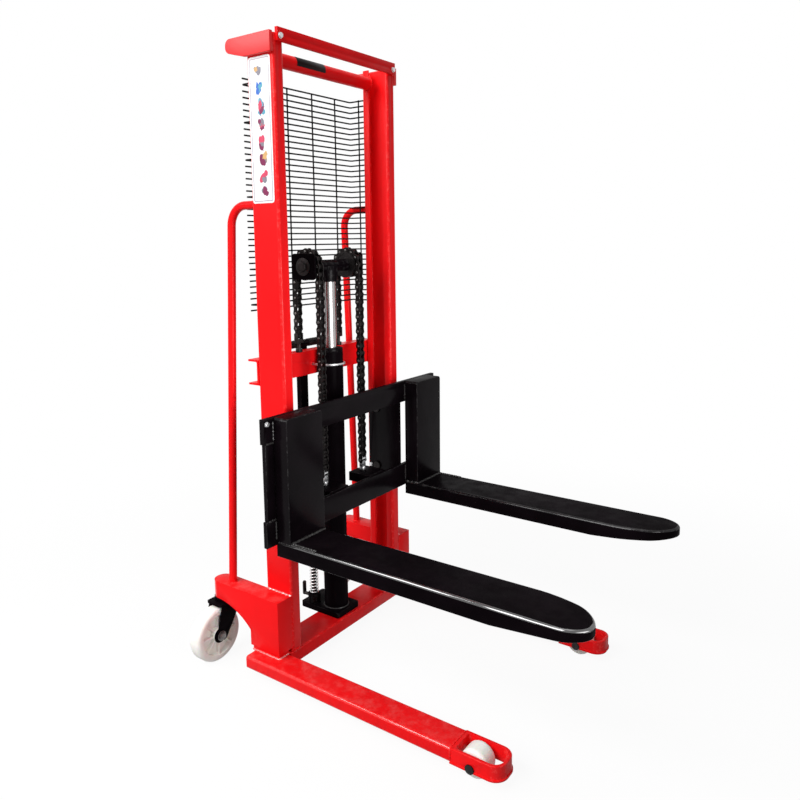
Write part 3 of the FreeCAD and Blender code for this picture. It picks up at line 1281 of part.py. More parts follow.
def roller_plates():
    bottom = FORK_TOP - ROLLER_PLATE_DROP
    outline = [
        (-ROLLER_PLATE_REAR, bottom, ROLLER_PLATE_ROUND),
        (BAR_BACK, bottom, 0),
        (BAR_BACK, ROLLER_PLATE_TOP, 0),
        (-ROLLER_PLATE_REAR, ROLLER_PLATE_TOP, ROLLER_PLATE_ROUND),
    ]
    plate = side_prism(outline, ROLLER_PLATE_INNER, ROLLER_PLATE_OUTER)
    across = Y_AXIS * ROLLER_PLATE_OUTER
    for height in guide_roller_heights():
        start = Vec(COLUMN_CENTRE, 0, height)
        plate = plate.cut(rod(GUIDE_AXLE_RADIUS + RUNNING_FIT, start, start + across))
    corner = side_bolt_place()
    plate = plate.cut(rod(CARRIAGE_BOLT_RADIUS + RUNNING_FIT, corner, corner + across))
    return both_sides(plate)


def guide_roller(height):
    half = GUIDE_ROLLER_WIDTH / 2
    bore = GUIDE_AXLE_RADIUS + RUNNING_FIT
    outline = [
        (bore, -half, 0),
        (GUIDE_ROLLER_RADIUS, -half, GUIDE_ROLLER_ROUND),
        (GUIDE_ROLLER_RADIUS, half, GUIDE_ROLLER_ROUND),
        (bore, half, 0),
    ]
    return turned(outline, Vec(COLUMN_CENTRE, GUIDE_ROLLER_Y, height), Y_AXIS)


def carriage_pins():
    """Stub axles of the guide rollers, and the bolts of the carriage."""
    pins = []
    axle_end = GUIDE_ROLLER_Y + GUIDE_ROLLER_WIDTH / 2
    collar_end = GUIDE_ROLLER_Y - GUIDE_ROLLER_WIDTH / 2 - FACE_GAP
    for height in guide_roller_heights():
        base = Vec(COLUMN_CENTRE, 0, height)
        head_start = base + Y_AXIS * (ROLLER_PLATE_INNER - GUIDE_AXLE_HEAD)
        head = rod(GUIDE_AXLE_HEAD_RADIUS, head_start, base + Y_AXIS * ROLLER_PLATE_INNER)
        axle = rod(GUIDE_AXLE_RADIUS, head_start, base + Y_AXIS * axle_end)
        collar = rod(GUIDE_AXLE_HEAD_RADIUS, base + Y_AXIS * ROLLER_PLATE_OUTER, base + Y_AXIS * collar_end)
        pins.append(axle.fuse([head, collar]))
    corner = side_bolt_place()
    side_shank = rod(CARRIAGE_BOLT_RADIUS, corner + Y_AXIS * ROLLER_PLATE_INNER, corner + Y_AXIS * ROLLER_PLATE_OUTER)
    head_start = corner + Y_AXIS * (ROLLER_PLATE_INNER - CARRIAGE_BOLT_HEAD)
    side_head = rod(CARRIAGE_BOLT_HEAD_RADIUS, head_start, corner + Y_AXIS * ROLLER_PLATE_INNER)
    pins.append(side_shank.fuse(side_head))
    stop = Vec(BAR_BACK, BAR_LENGTH / 2 - STOP_BOLT_INSET, UPRIGHT_TOP - STOP_BOLT_INSET)
    front = stop + X_AXIS * BAR_THICK
    stop_shank = rod(CARRIAGE_BOLT_RADIUS, stop, front)
    stop_head = rod(CARRIAGE_BOLT_HEAD_RADIUS, front, front + X_AXIS * CARRIAGE_BOLT_HEAD)
    pins.append(stop_shank.fuse(stop_head))
    return Part.makeCompound(pins + [other_side(pin) for pin in pins])


def anchor_blocks():
    half = ANCHOR_BLOCK_WIDTH / 2
    span_x = (BAR_BACK - ANCHOR_BLOCK_LENGTH, BAR_BACK)
    span_y = (CHAIN_OFFSET - half, CHAIN_OFFSET + half)
    return both_sides(box(span_x, span_y, (ANCHOR_BLOCK_TOP - ANCHOR_BLOCK_HEIGHT, ANCHOR_BLOCK_TOP)))


# Every node and the shape that fills it
def pieces():
    """Node names with their shapes, left pieces also mirrored to the right."""
    low, high = guide_roller_heights()
    paired = {
        "mast_column": mast_column(),
        "straddle_leg": straddle_leg(),
        "roller_housing": roller_housing(),
        "front_roller": front_roller(),
        "caster_bracket": caster_bracket(),
        "chain_wheel": chain_wheel(),
        "fork": fork(),
        "fork_upright": fork_upright(),
        "guide_roller_lower": guide_roller(low),
        "guide_roller_upper": guide_roller(high),
    }
    nodes = {
        "top_front_bar": top_front_bar(),
        "top_bar_bolts": top_bar_bolts(),
        "top_side_plates": top_side_plates(),
        "top_tie_bar": top_tie_bar(),
        "rear_cross_channel": rear_cross_channel(),
        "base_cross_beam": base_cross_beam(),
        "roller_axles": roller_axles(),
        "bracket_feet": bracket_feet(),
        "push_handles": push_handles(),
        "swivel_heads": swivel_heads(),
        "mesh_guard": mesh_guard(),
        "lift_cylinder": lift_cylinder(),
        "cylinder_gland": cylinder_gland(),
        "cylinder_u_bolt": cylinder_u_bolt(),
        "pump_base_plate": pump_base_plate(),
        "pump_body": pump_body(),
        "pump_plunger": pump_plunger(),
        "plunger_spring": plunger_spring(),
        "lever_bracket": lever_bracket(),
        "pump_lever": pump_lever(),
        "release_valve": release_valve(),
        "piston_rod": piston_rod(),
        "crosshead": crosshead(),
        "wheel_axle": wheel_axle(),
        "wheel_cheeks": wheel_cheeks(),
        "chain_fronts": chain_fronts(),
        "chain_wraps": chain_wraps(),
        "chain_rears": chain_rears(),
        "rear_chain_anchors": rear_chain_anchors(),
        "front_chain_anchors": front_chain_anchors(),
        "anchor_blocks": anchor_blocks(),
        "upper_carriage_bar": upper_carriage_bar(),
        "lower_carriage_bar": lower_carriage_bar(),
        "carriage_end_strips": carriage_end_strips(),
        "roller_plates": roller_plates(),
        "carriage_pins": carriage_pins(),
    }
    for name, side in (("_left", 1), ("_right", -1)):
        nodes["caster_yoke" + name] = caster_yoke(side)
        nodes["caster_wheel" + name] = caster_wheel(side)
    for name, shape in paired.items():
        nodes[name + "_left"] = shape
        nodes[name + "_right"] = other_side(shape)
    return nodes


def main():
    os.makedirs("parts", exist_ok=True)
    for name, shape in pieces().items():
        shape.translate(ORIGIN_SHIFT)
        shape.exportStep("parts/" + name + ".step")


if __name__ == "__main__":
    main()
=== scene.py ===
"""Finishes and fine parts of a hand pallet stacker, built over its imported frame."""

import json
import math
import random

import bmesh
import bpy
from mathutils import Matrix, Vector


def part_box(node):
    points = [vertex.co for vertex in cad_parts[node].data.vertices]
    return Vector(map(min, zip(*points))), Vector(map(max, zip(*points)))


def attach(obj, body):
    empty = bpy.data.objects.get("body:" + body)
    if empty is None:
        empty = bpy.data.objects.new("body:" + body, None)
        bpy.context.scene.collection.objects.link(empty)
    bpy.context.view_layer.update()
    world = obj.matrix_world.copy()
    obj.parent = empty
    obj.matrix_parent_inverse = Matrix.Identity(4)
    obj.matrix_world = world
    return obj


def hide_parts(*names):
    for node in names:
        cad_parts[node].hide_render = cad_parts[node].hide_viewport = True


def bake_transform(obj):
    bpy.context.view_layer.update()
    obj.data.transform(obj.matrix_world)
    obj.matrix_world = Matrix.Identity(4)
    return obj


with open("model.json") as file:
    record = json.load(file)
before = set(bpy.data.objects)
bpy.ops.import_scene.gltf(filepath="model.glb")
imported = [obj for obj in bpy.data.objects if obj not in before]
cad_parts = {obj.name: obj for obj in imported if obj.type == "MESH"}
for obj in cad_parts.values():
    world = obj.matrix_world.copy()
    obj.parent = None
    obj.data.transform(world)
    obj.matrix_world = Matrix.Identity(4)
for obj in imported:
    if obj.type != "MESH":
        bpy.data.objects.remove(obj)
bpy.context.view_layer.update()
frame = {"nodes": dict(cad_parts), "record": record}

bl_info = {
    "name": "Hand pallet stacker",
    "version": (1, 0, 0),
    "blender": (4, 5, 0),
    "location": "View3D > Sidebar > Stacker",
    "description": "Dresses the frame of a hand pallet stacker with its fine parts, paint and stage",
    "category": "Object",
}

MM = 0.001
LEFT, RIGHT = 1, -1
SIDES = {LEFT: "left", RIGHT: "right"}
SLOT_OF = {row["node"]: row["material_slot"] for row in frame["record"]["subparts"]}
BODY_OF = {node: body for body, nodes in frame["record"]["behaviour"]["bodies"].items() for node in nodes}
COLUMN_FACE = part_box("mast_column_left")[1]
MAST_MIDDLE = (COLUMN_FACE.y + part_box("mast_column_right")[0].y) / 2
ORIGIN = Vector((COLUMN_FACE.x, MAST_MIDDLE, 0))
# Least share of a direction that counts as along an axis
ALIGNED = 0.9


class StackerSizes(bpy.types.PropertyGroup):
    """Sizes of the fine parts."""

    plate_edge: bpy.props.FloatProperty(
        name="Plate edge", description="Rounding of cut plate edges", default=1.7 * MM, unit="LENGTH")
    sheet_edge: bpy.props.FloatProperty(
        name="Sheet edge", description="Rounding of folded sheet edges", default=3.2 * MM, unit="LENGTH")
    small_edge: bpy.props.FloatProperty(
        name="Small edge", description="Rounding of turned and cast parts", default=0.7 * MM, unit="LENGTH")
    weld_radius: bpy.props.FloatProperty(
        name="Weld", description="Radius of a fillet weld bead", default=3.0 * MM, unit="LENGTH")
    nose_length: bpy.props.FloatProperty(
        name="Fork nose", description="Length over which a fork narrows", default=175 * MM, unit="LENGTH")
    nose_inset: bpy.props.FloatProperty(
        name="Nose inset", description="How far a fork draws in at its tip", default=46 * MM, unit="LENGTH")
    guard_wire: bpy.props.FloatProperty(
        name="Guard wire", description="Radius of the guard's wires", default=2.7 * MM, unit="LENGTH")
    guard_rows: bpy.props.IntProperty(
        name="Guard rows", description="Number of level wires in the guard", default=39)
    guard_uprights: bpy.props.IntProperty(
        name="Guard uprights", description="Number of upright wires behind the mast", default=4)
    chain_pitch: bpy.props.FloatProperty(
        name="Chain pitch", description="Distance between the chain's pins", default=25.4 * MM, unit="LENGTH")
    chain_plate: bpy.props.FloatProperty(
        name="Chain plate", description="Thickness of a link plate", default=2.8 * MM, unit="LENGTH")
    chain_gap: bpy.props.FloatProperty(
        name="Chain inner width", description="Space between inner plates", default=13.4 * MM, unit="LENGTH")
    spring_turns: bpy.props.FloatProperty(
        name="Spring turns", description="Open turns of the plunger spring", default=9.4)
    spring_wire: bpy.props.FloatProperty(
        name="Spring wire", description="Radius of the spring's wire", default=2.0 * MM, unit="LENGTH")


class StackerColours(bpy.types.PropertyGroup):
    """Colours of the finishes."""

    red_paint: bpy.props.FloatVectorProperty(
        name="Red paint", description="Mast and base", default=(0.85, 0.0070, 0.0092), subtype="COLOR")
    black_paint: bpy.props.FloatVectorProperty(
        name="Black paint", description="Forks and carriage", default=(0.0022, 0.0013, 0.0019),
        subtype="COLOR")
    nylon: bpy.props.FloatVectorProperty(
        name="Nylon", description="Rollers and wheels", default=(0.95, 0.94, 0.89), subtype="COLOR")
    zinc: bpy.props.FloatVectorProperty(
        name="Zinc", description="Plated fasteners", default=(0.66, 0.66, 0.67), subtype="COLOR")
    # Darker than bright chrome, with a faint pink tint: a painted reflection of the red paint round the rod.
    chrome: bpy.props.FloatVectorProperty(
        name="Chrome", description="Piston rod", default=(0.44, 0.41, 0.41), subtype="COLOR")
    chain_steel: bpy.props.FloatVectorProperty(
        name="Chain steel", description="Oiled chain", default=(0.016, 0.013, 0.013), subtype="COLOR")
    panel: bpy.props.FloatVectorProperty(
        name="Panel", description="Panel on the mast", default=(0.80, 0.82, 0.82), subtype="COLOR")


def sizes():
    """Sizes set for this scene."""
    return bpy.context.scene.stacker_sizes


def colours():
    """Colours set for this scene."""
    return bpy.context.scene.stacker_colours


# Places
def at(x, y, z):
    """Frame point from millimetres ahead of the mast, to its left and above the floor."""
    return ORIGIN + Vector((x, y, z)) * MM


def middle_of(node):
    """Middle of a node's box."""
    low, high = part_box(node)
    return (low + high) / 2


def inner_y(node, side):
    """Place of a node's flank that faces the mast's middle."""
    low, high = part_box(node)
    return low.y if side == LEFT else high.y


def outer_y(node, side):
    """Place of a node's flank that faces away from the mast's middle."""
    return inner_y(node, -side)


def run(*places):
    """Row of points."""
    return [Vector(place) for place in places]


def ring(centre, axis, radius, count):
    """Points round a circle."""
    turn = Vector(axis).to_track_quat("Z", "Y").to_matrix()
    points = []
    for step in range(count + 1):
        angle = 2 * math.pi * step / count
        points.append(centre + turn @ Vector((math.cos(angle), math.sin(angle), 0)) * radius)
    return points


# Modelling helpers
def only(*pieces):
    """Select these pieces alone, the first one active."""
    bpy.ops.object.select_all(action="DESELECT")
    for piece in pieces:
        piece.select_set(True)
    bpy.context.view_layer.objects.active = pieces[0]


class Editing:
    """Edit mode on one piece."""

    def __init__(self, piece):
        self.piece = piece

    def __enter__(self):
        only(self.piece)
        bpy.ops.object.mode_set(mode="EDIT")
        bpy.ops.mesh.select_mode(type="VERT")
        bpy.ops.mesh.select_all(action="SELECT")
        return self

    def __exit__(self, *trouble):
        bpy.ops.object.mode_set(mode="OBJECT")

    def chosen(self, kind):
        """Bare mesh in a select mode, with nothing selected."""
        bpy.ops.mesh.select_mode(type=kind)
        bpy.ops.mesh.select_all(action="DESELECT")
        return bmesh.from_edit_mesh(self.piece.data)

    def points(self, test):
        """Select the vertices whose place passes a test."""
        shape = self.chosen("VERT")
        for vertex in shape.verts:
            vertex.select = test(vertex.co)
        shape.select_flush_mode()
        bmesh.update_edit_mesh(self.piece.data)

    def edges(self, test):
        """Select the edges whose direction passes a test."""
        shape = self.chosen("EDGE")
        for edge in shape.edges:
            edge.select_set(test((edge.verts[0].co - edge.verts[1].co).normalized()))
        bmesh.update_edit_mesh(self.piece.data)

    def faces(self, test):
        """Select the faces whose middle and normal pass a test."""
        shape = self.chosen("FACE")
        for face in shape.faces:
            face.select_set(test(face.calc_center_median(), face.normal))
        bmesh.update_edit_mesh(self.piece.data)


def applied(piece, kind, **settings):
    """Add a modifier with these settings and apply it."""
    only(piece)
    modifier = piece.modifiers.new(kind.title(), kind)
    for name, value in settings.items():
        setattr(modifier, name, value)
    bpy.ops.object.modifier_apply(modifier=modifier.name)
    return piece


def rounded(piece, width, segments=2, angle=32):
    """Round the hard edges of a piece."""
    return applied(
        piece, "BEVEL", width=width, segments=segments, limit_method="ANGLE", angle_limit=math.radians(angle),
        use_clamp_overlap=True, miter_outer="MITER_ARC")


def shaded(piece, angle=34):
    """Smooth shading up to an angle."""
    only(piece)
    bpy.ops.object.shade_smooth_by_angle(angle=math.radians(angle), keep_sharp_edges=False)
    return piece


def named(name):
    """Name the piece that an operator has just added."""
    piece = bpy.context.object
    piece.name = name
    piece.data.name = name
    return piece


def linked(name, data):
    """New piece with this data in the scene."""
    piece = bpy.data.objects.new(name, data)
    bpy.context.scene.collection.objects.link(piece)
    return piece


def placed(piece):
    """Move a piece's place, turn and scale into its mesh."""
    only(piece)
    bpy.ops.object.transform_apply(location=True, rotation=True, scale=True)
    return piece


def block(name, low, high):
    """Block between two corners."""
    bpy.ops.object.select_all(action="DESELECT")
    bpy.ops.mesh.primitive_cube_add(size=1, location=(low + high) / 2)
    piece = named(name)
    piece.scale = high - low
    return placed(piece)


def bar(name, start, end, radius, sides):
    """Round or many-sided bar between two points."""
    along = end - start
    turn = along.to_track_quat("Z", "Y").to_euler()
    bpy.ops.object.select_all(action="DESELECT")
    bpy.ops.mesh.primitive_cylinder_add(
        vertices=sides, radius=radius, depth=along.length, location=(start + end) / 2, rotation=turn)
    return placed(named(name))


def tube(name, runs, radius, rings=1, swell=None):
    """Round wires along runs of points, as one mesh; swell gives each point's share of the radius."""
    curve = bpy.data.curves.new(name, "CURVE")
    curve.dimensions = "3D"
    curve.bevel_depth = radius
    curve.bevel_resolution = rings
    curve.use_fill_caps = True
    for number, points in enumerate(runs):
        spline = curve.splines.new("POLY")
        spline.points.add(len(points) - 1)
        for index, point in enumerate(points):
            spline.points[index].co = (*point, 1)
            if swell:
                spline.points[index].radius = swell[number][index]
    only(linked(name, curve))
    bpy.ops.object.convert(target="MESH")
    piece = named(name)
    with Editing(piece):
        bpy.ops.mesh.remove_doubles(threshold=0.005 * MM)
        bpy.ops.mesh.normals_make_consistent(inside=False)
    return shaded(piece, angle=50)


def copied(piece, name, place):
    """Copy of a piece with its own mesh, moved in its mesh by a matrix."""
    twin = linked(name, piece.data.copy())
    twin.data.transform(place)
    return twin


def joined(name, pieces):
    """Join pieces into one."""
    only(*pieces)
    if len(pieces) > 1:
        bpy.ops.object.join()
    return named(name)


def removed(piece):
    """Delete a pattern piece that has been copied."""
    bpy.data.objects.remove(piece, do_unlink=True)


def dressed(piece, slot, finish=None):
    """Place the piece in its mesh and give it its own finish, or its slot's."""
    placed(piece)
    piece.data.materials.clear()
    piece.data.materials.append(finish_of(finish or slot))
    return piece


def settled(piece, body, slot, nodes=(), finish=None):
    """Dress a piece, let it move with a body and let it stand for CAD nodes."""
    dressed(piece, slot, finish)
    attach(piece, body)
    if nodes:
        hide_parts(*nodes)
    return piece


def marked(piece, least_rise=0.0):
    """Mark the narrow slanting faces of roundings, which the finishes read."""
    widest = 3.2 * MM
    flat = 0.985
    mask = piece.data.attributes.new("rounding", "FLOAT", "FACE")
    for face in piece.data.polygons:
        squareness = max(abs(part) for part in face.normal)
        corners = [piece.data.vertices[index].co for index in face.vertices]
        longest = max((here - there).length for here, there in zip(corners, corners[1:] + corners[:1]))
        narrow = face.area < longest * widest
        rises = abs(face.normal.z) >= least_rise
        mask.data[face.index].value = 1.0 if squareness < flat and narrow and rises else 0.0
    return piece


def softened(node, width, segments=2, angle=32, finish=None, form=None, least_rise=0.0):
    """Copy of a CAD node with merged faces and rounded edges, which stands for the node."""
    piece = linked("edged_" + node, frame["nodes"][node].data.copy())
    only(piece)
    bpy.ops.mesh.customdata_custom_splitnormals_clear()
    with Editing(piece):
        bpy.ops.mesh.remove_doubles(threshold=0.01 * MM)
        bpy.ops.mesh.dissolve_limited(angle_limit=math.radians(1))
    if form:
        form(piece)
    marked(shaded(rounded(piece, width, segments, angle)), least_rise)
    return settled(piece, BODY_OF[node], SLOT_OF[node], [node], finish)


def hexagon(name, seat, outward, inner_radius, height):
    """Six-sided nut or bolt head with a turned chamfer on a seat."""
    corner = inner_radius / math.cos(math.pi / 6)
    chamfer, rise, rim, edge = corner * 0.16, height * 0.10, corner * 0.10, height * 0.05
    head = bar(name, seat, seat + outward * height, corner, sides=6)
    top = (seat + outward * height).dot(outward)

    def on_top(middle, normal):
        return normal.dot(outward) > ALIGNED and abs(middle.dot(outward) - top) < 0.01 * MM

    with Editing(head) as edit:
        edit.faces(on_top)
        bpy.ops.mesh.inset(thickness=chamfer)
        bpy.ops.transform.translate(value=outward * rise)
        bpy.ops.mesh.inset(thickness=rim)
    return shaded(rounded(head, edge, segments=1, angle=20), angle=25)


def washer(name, seat, outward, radius, height):
    """Plain washer on a seat."""
    edge = height * 0.3
    disc = bar(name, seat, seat + outward * height, radius, sides=28)
    return shaded(rounded(disc, edge), angle=40)


def bead(name, body, slot, runs, share=1.0, seed=1, finish=None):
    """Rippled weld beads along straight runs between points; share is of the usual radius."""
    ripple = random.Random(seed)
    radius = sizes().weld_radius * share
    wave = (0.72, 1.06, 1.20, 1.06)
    thin_end, step_share, wander, flicker = 0.7, 0.9, 0.10, 0.08
    paths = []
    swells = []
    for corners in runs:
        path = []
        swell = []
        for start, end in zip(corners, corners[1:]):
            steps = max(2, round((end - start).length / (radius * step_share)))
            for step in range(steps):
                place = start.lerp(end, step / steps)
                stray = Vector([ripple.uniform(-wander, wander) * radius for axis in range(3)])
                path.append(place + stray)
                swell.append(wave[step % len(wave)] + ripple.uniform(-flicker, flicker))
        path.append(corners[-1].copy())
        swell.append(thin_end)
        swell[0] = thin_end
        paths.append(path)
        swells.append(swell)
    return settled(marked(tube(name, paths, radius, swell=swells)), body, slot, finish=finish)


# Shader groups
FLOAT, COLOUR = "NodeSocketFloat", "NodeSocketColor"
MIX_FIRST, MIX_SECOND, MIX_RESULT = 6, 7, 2


def plug(tree, term, socket):
    """Wire another socket to a socket, or set a value there."""
    if isinstance(term, bpy.types.NodeSocket):
        tree.links.new(term, socket)
    else:
        socket.default_value = term


def noise(tree, scale, detail, roughness, vector=None):
    """Noise on object coordinates, or on a given vector."""
    node = tree.nodes.new("ShaderNodeTexNoise")
    if vector is None:
        vector = tree.nodes.new("ShaderNodeTexCoord").outputs["Object"]
    terms = {"Vector": vector, "Scale": scale, "Detail": detail, "Roughness": roughness}
    for label, term in terms.items():
        plug(tree, term, node.inputs[label])
    return node.outputs["Fac"]


def sums(tree, operation, *terms):
    """Math node on values or sockets."""
    node = tree.nodes.new("ShaderNodeMath")
    node.operation = operation
    for index, term in enumerate(terms):
        plug(tree, term, node.inputs[index])
    return node.outputs["Value"]


def between(tree, value, low, high, out_low=0.0, out_high=1.0):
    """Map a value's range to another, smoothly."""
    node = tree.nodes.new("ShaderNodeMapRange")
    node.interpolation_type = "SMOOTHSTEP"
    terms = {"Value": value, "From Min": low, "From Max": high, "To Min": out_low, "To Max": out_high}
    for label, term in terms.items():
        plug(tree, term, node.inputs[label])
    return node.outputs["Result"]


def mixed(tree, share, first, second):
    """Mix of two colours by a share."""
    node = tree.nodes.new("ShaderNodeMix")
    node.data_type = "RGBA"
    plug(tree, share, node.inputs["Factor"])
    for index, term in ((MIX_FIRST, first), (MIX_SECOND, second)):
        colour = term if isinstance(term, bpy.types.NodeSocket) else (*term, 1)
        plug(tree, colour, node.inputs[index])
    return node.outputs[MIX_RESULT]


def shared(name, inputs, outputs):
    """Let a function fill a shader group at its first use, and hand out the same group later."""
    def wrap(fill):
        def give():
            tree = bpy.data.node_groups.get(name)
            if tree:
                return tree
            tree = bpy.data.node_groups.new(name, "ShaderNodeTree")
            for label, value in inputs.items():
                kind = COLOUR if isinstance(value, tuple) else FLOAT
                socket = tree.interface.new_socket(label, in_out="INPUT", socket_type=kind)
                socket.default_value = value
            for label, kind in outputs.items():
                tree.interface.new_socket(label, in_out="OUTPUT", socket_type=kind)
            given = tree.nodes.new("NodeGroupInput").outputs
            result = tree.nodes.new("NodeGroupOutput").inputs
            for label, output in fill(tree, given).items():
                tree.links.new(output, result[label])
            return tree
        return give
    return wrap


@shared("Spray skin", {"Peel Scale": 260.0, "Grain Scale": 1500.0}, {"Height": FLOAT})
def spray_skin(tree, given):
    """Orange peel and grain of sprayed paint, as a height."""
    peel = noise(tree, given["Peel Scale"], detail=2, roughness=0.5)
    grain = noise(tree, given["Grain Scale"], detail=1, roughness=0.5)
    fine = sums(tree, "MULTIPLY", grain, 0.3)
    return {"Height": sums(tree, "ADD", peel, fine)}


@shared(
    "Colour drift", {"First": (0.5, 0.5, 0.5, 1), "Second": (0.4, 0.4, 0.4, 1), "Scale": 6.0},
    {"Color": COLOUR})
def colour_drift(tree, given):
    """Slow drift between two tones of one colour."""
    patches = noise(tree, given["Scale"], detail=5, roughness=0.62)
    share = between(tree, patches, low=0.36, high=0.66)
    return {"Color": mixed(tree, share, given["First"], given["Second"])}


@shared("Edge wear", {"Scale": 85.0}, {"Edge": FLOAT, "Wear": FLOAT})
def edge_wear(tree, given):
    """Mask of roundings, whole and broken up by noise."""
    mark = tree.nodes.new("ShaderNodeAttribute")
    mark.attribute_name = "rounding"
    edge = mark.outputs["Fac"]
    patches = noise(tree, given["Scale"], detail=4, roughness=0.65)
    patchy = between(tree, patches, low=0.5, high=0.62)
    return {"Edge": edge, "Wear": sums(tree, "MULTIPLY", edge, patchy)}


@shared("Dust and top sheen", {"Amount": 0.3, "Scale": 30.0}, {"Dust": FLOAT})
def dust_and_top_sheen(tree, given):
    """Patchy mask of faces that look up, for settled dust and for a painted top sheen."""
    surface = tree.nodes.new("ShaderNodeNewGeometry")
    way = tree.nodes.new("ShaderNodeSeparateXYZ")
    tree.links.new(surface.outputs["Normal"], way.inputs["Vector"])
    upward = between(tree, way.outputs["Z"], low=0.6, high=0.98)
    patches = noise(tree, given["Scale"], detail=6, roughness=0.7)
    patchy = sums(tree, "MULTIPLY", upward, between(tree, patches, low=0.42, high=0.74))
    return {"Dust": sums(tree, "MULTIPLY", patchy, given["Amount"])}


@shared("Floor grime", {"Height": 0.12, "Scale": 45.0}, {"Grime": FLOAT})
def floor_grime(tree, given):
    """Mask of grime that fades with the height above the floor."""
    place = tree.nodes.new("ShaderNodeTexCoord").outputs["Object"]
    split = tree.nodes.new("ShaderNodeSeparateXYZ")
    tree.links.new(place, split.inputs["Vector"])
    near = between(tree, split.outputs["Z"], 0.0, given["Height"], out_low=1.0, out_high=0.0)
    patches = noise(tree, given["Scale"], detail=6, roughness=0.68, vector=place)
    patchy = between(tree, patches, low=0.40, high=0.70)
    return {"Grime": sums(tree, "MULTIPLY", near, patchy)}


class Finish:
    """A material with a principled shader and helpers to wire it."""

    def __init__(self, name, roughness, metallic=0.0, **sockets):
        self.material = bpy.data.materials.new(name)
        self.material.use_nodes = True
        self.tree = self.material.node_tree
        self.shader = self.tree.nodes["Principled BSDF"]
        self.shader.inputs["Roughness"].default_value = roughness
        self.shader.inputs["Metallic"].default_value = metallic
        for label, value in sockets.items():
            self.shader.inputs[label.replace("_", " ")].default_value = value

    def place(self, tree, **values):
        """Place a shared group with its own values; gives its outputs."""
        node = self.tree.nodes.new("ShaderNodeGroup")
        node.node_tree = tree
        for label, value in values.items():
            node.inputs[label.replace("_", " ")].default_value = value
        return node.outputs

    def feed(self, output, label):
        """Wire an output to the shader."""
        self.tree.links.new(output, self.shader.inputs[label])

    def drift(self, first, second, scale):
        """Colour that drifts between two tones."""
        return self.place(colour_drift(), First=(*first, 1), Second=(*second, 1), Scale=scale)["Color"]

    def over(self, under, mask, tone, strength=1.0):
        """Lay a tone over a colour where a mask says."""
        share = mask if strength == 1.0 else sums(self.tree, "MULTIPLY", mask, strength)
        return mixed(self.tree, share, under, tone)

    def bumped(self, height, strength, depth):
        """Wire a height through a bump to the shader's normal."""
        bump = self.tree.nodes.new("ShaderNodeBump")
        bump.inputs["Strength"].default_value = strength
        bump.inputs["Distance"].default_value = depth
        self.tree.links.new(height, bump.inputs["Height"])
        self.feed(bump.outputs["Normal"], "Normal")

    def skinned(self, peel, grain, strength, depth):
        """Bump of a sprayed skin."""
        skin = self.place(spray_skin(), Peel_Scale=peel, Grain_Scale=grain)
        self.bumped(skin["Height"], strength, depth)

    def uneven(self, rough, scale):
        """Roughness that wanders between two values."""
        cloud = noise(self.tree, scale, detail=4, roughness=0.6)
        self.feed(between(self.tree, cloud, 0.3, 0.7, *rough), "Roughness")

    def glossed(self, edge, edge_gloss, flat_gloss):
        """Coat that is thicker on the roundings than on the flats."""
        self.feed(sums(self.tree, "MULTIPLY_ADD", edge, edge_gloss, flat_gloss), "Coat Weight")


def tone_of(colour):
    """Colour by the name of its property, or as it is given."""
    return tuple(getattr(colours(), colour)) if isinstance(colour, str) else colour


def shade_of(colour, share):
    """Darker or lighter tone of a colour."""
    return tuple(min(1.0, channel * share) for channel in colour)


# Finishes
def red_enamel(
        name, rough, edge_gloss, flat_gloss=0.0, coat_rough=0.12, coat_ior=1.5, base="red_paint", dust=0.05):
    """Red enamel with a light orange peel and grime; the pale pink on its upward faces is partly dust and
    partly painted top sheen; its edges catch the light.
    """
    base = tone_of(base)
    finish = Finish(name, rough[1], Specular_IOR_Level=0.08, Coat_Roughness=coat_rough, Coat_IOR=coat_ior)
    wear = finish.place(edge_wear(), Scale=85.0)
    dust_and_sheen = finish.place(dust_and_top_sheen(), Amount=dust, Scale=26.0)
    grime = finish.place(floor_grime(), Height=0.11, Scale=38.0)
    tone = finish.drift(base, shade_of(base, 0.94), scale=5.0)
    tone = finish.over(tone, wear["Wear"], (1.0, 0.10, 0.09), strength=0.30)
    # Pale pink over the upward faces: partly settled dust, partly a painted sheen of the light from above.
    tone = finish.over(tone, dust_and_sheen["Dust"], (0.85, 0.30, 0.28))
    tone = finish.over(tone, grime["Grime"], (0.30, 0.008, 0.009), strength=0.35)
    finish.feed(tone, "Base Color")
    finish.glossed(wear["Edge"], edge_gloss, flat_gloss)
    finish.uneven(rough, scale=14.0)
    finish.skinned(peel=240.0, grain=1300.0, strength=0.08, depth=0.5 * MM)
    return finish.material


def black_enamel(name, edge_gloss, flat_gloss, coat_rough=0.12, peel=0.10, coat_ior=1.75, base="black_paint"):
    """Black enamel, dark on its flats and bright along its edges."""
    base = tone_of(base)
    finish = Finish(name, 0.5, Specular_IOR_Level=0.006, Coat_Roughness=coat_rough, Coat_IOR=coat_ior)
    wear = finish.place(edge_wear(), Scale=70.0)
    dust_and_sheen = finish.place(dust_and_top_sheen(), Amount=0.004, Scale=34.0)
    tone = finish.drift(base, shade_of(base, 1.8), scale=7.0)
    tone = finish.over(tone, wear["Wear"], (0.10, 0.095, 0.095), strength=0.15)
    tone = finish.over(tone, dust_and_sheen["Dust"], (0.32, 0.29, 0.27))
    finish.feed(tone, "Base Color")
    finish.glossed(wear["Edge"], edge_gloss, flat_gloss)
    finish.uneven((0.36, 0.55), scale=18.0)
    finish.skinned(peel=300.0, grain=1600.0, strength=peel, depth=0.5 * MM)
    return finish.material


def film(name, tones, patch, roughness, rough, rough_patch, specular, peel, grain, strength, depth):
    """Thin coating of two close tones, with patches of either and an uneven polish."""
    finish = Finish(name, roughness, Specular_IOR_Level=specular)
    finish.feed(finish.drift(*tones, patch), "Base Color")
    finish.uneven(rough, rough_patch)
    finish.skinned(peel, grain, strength, depth)
    return finish.material


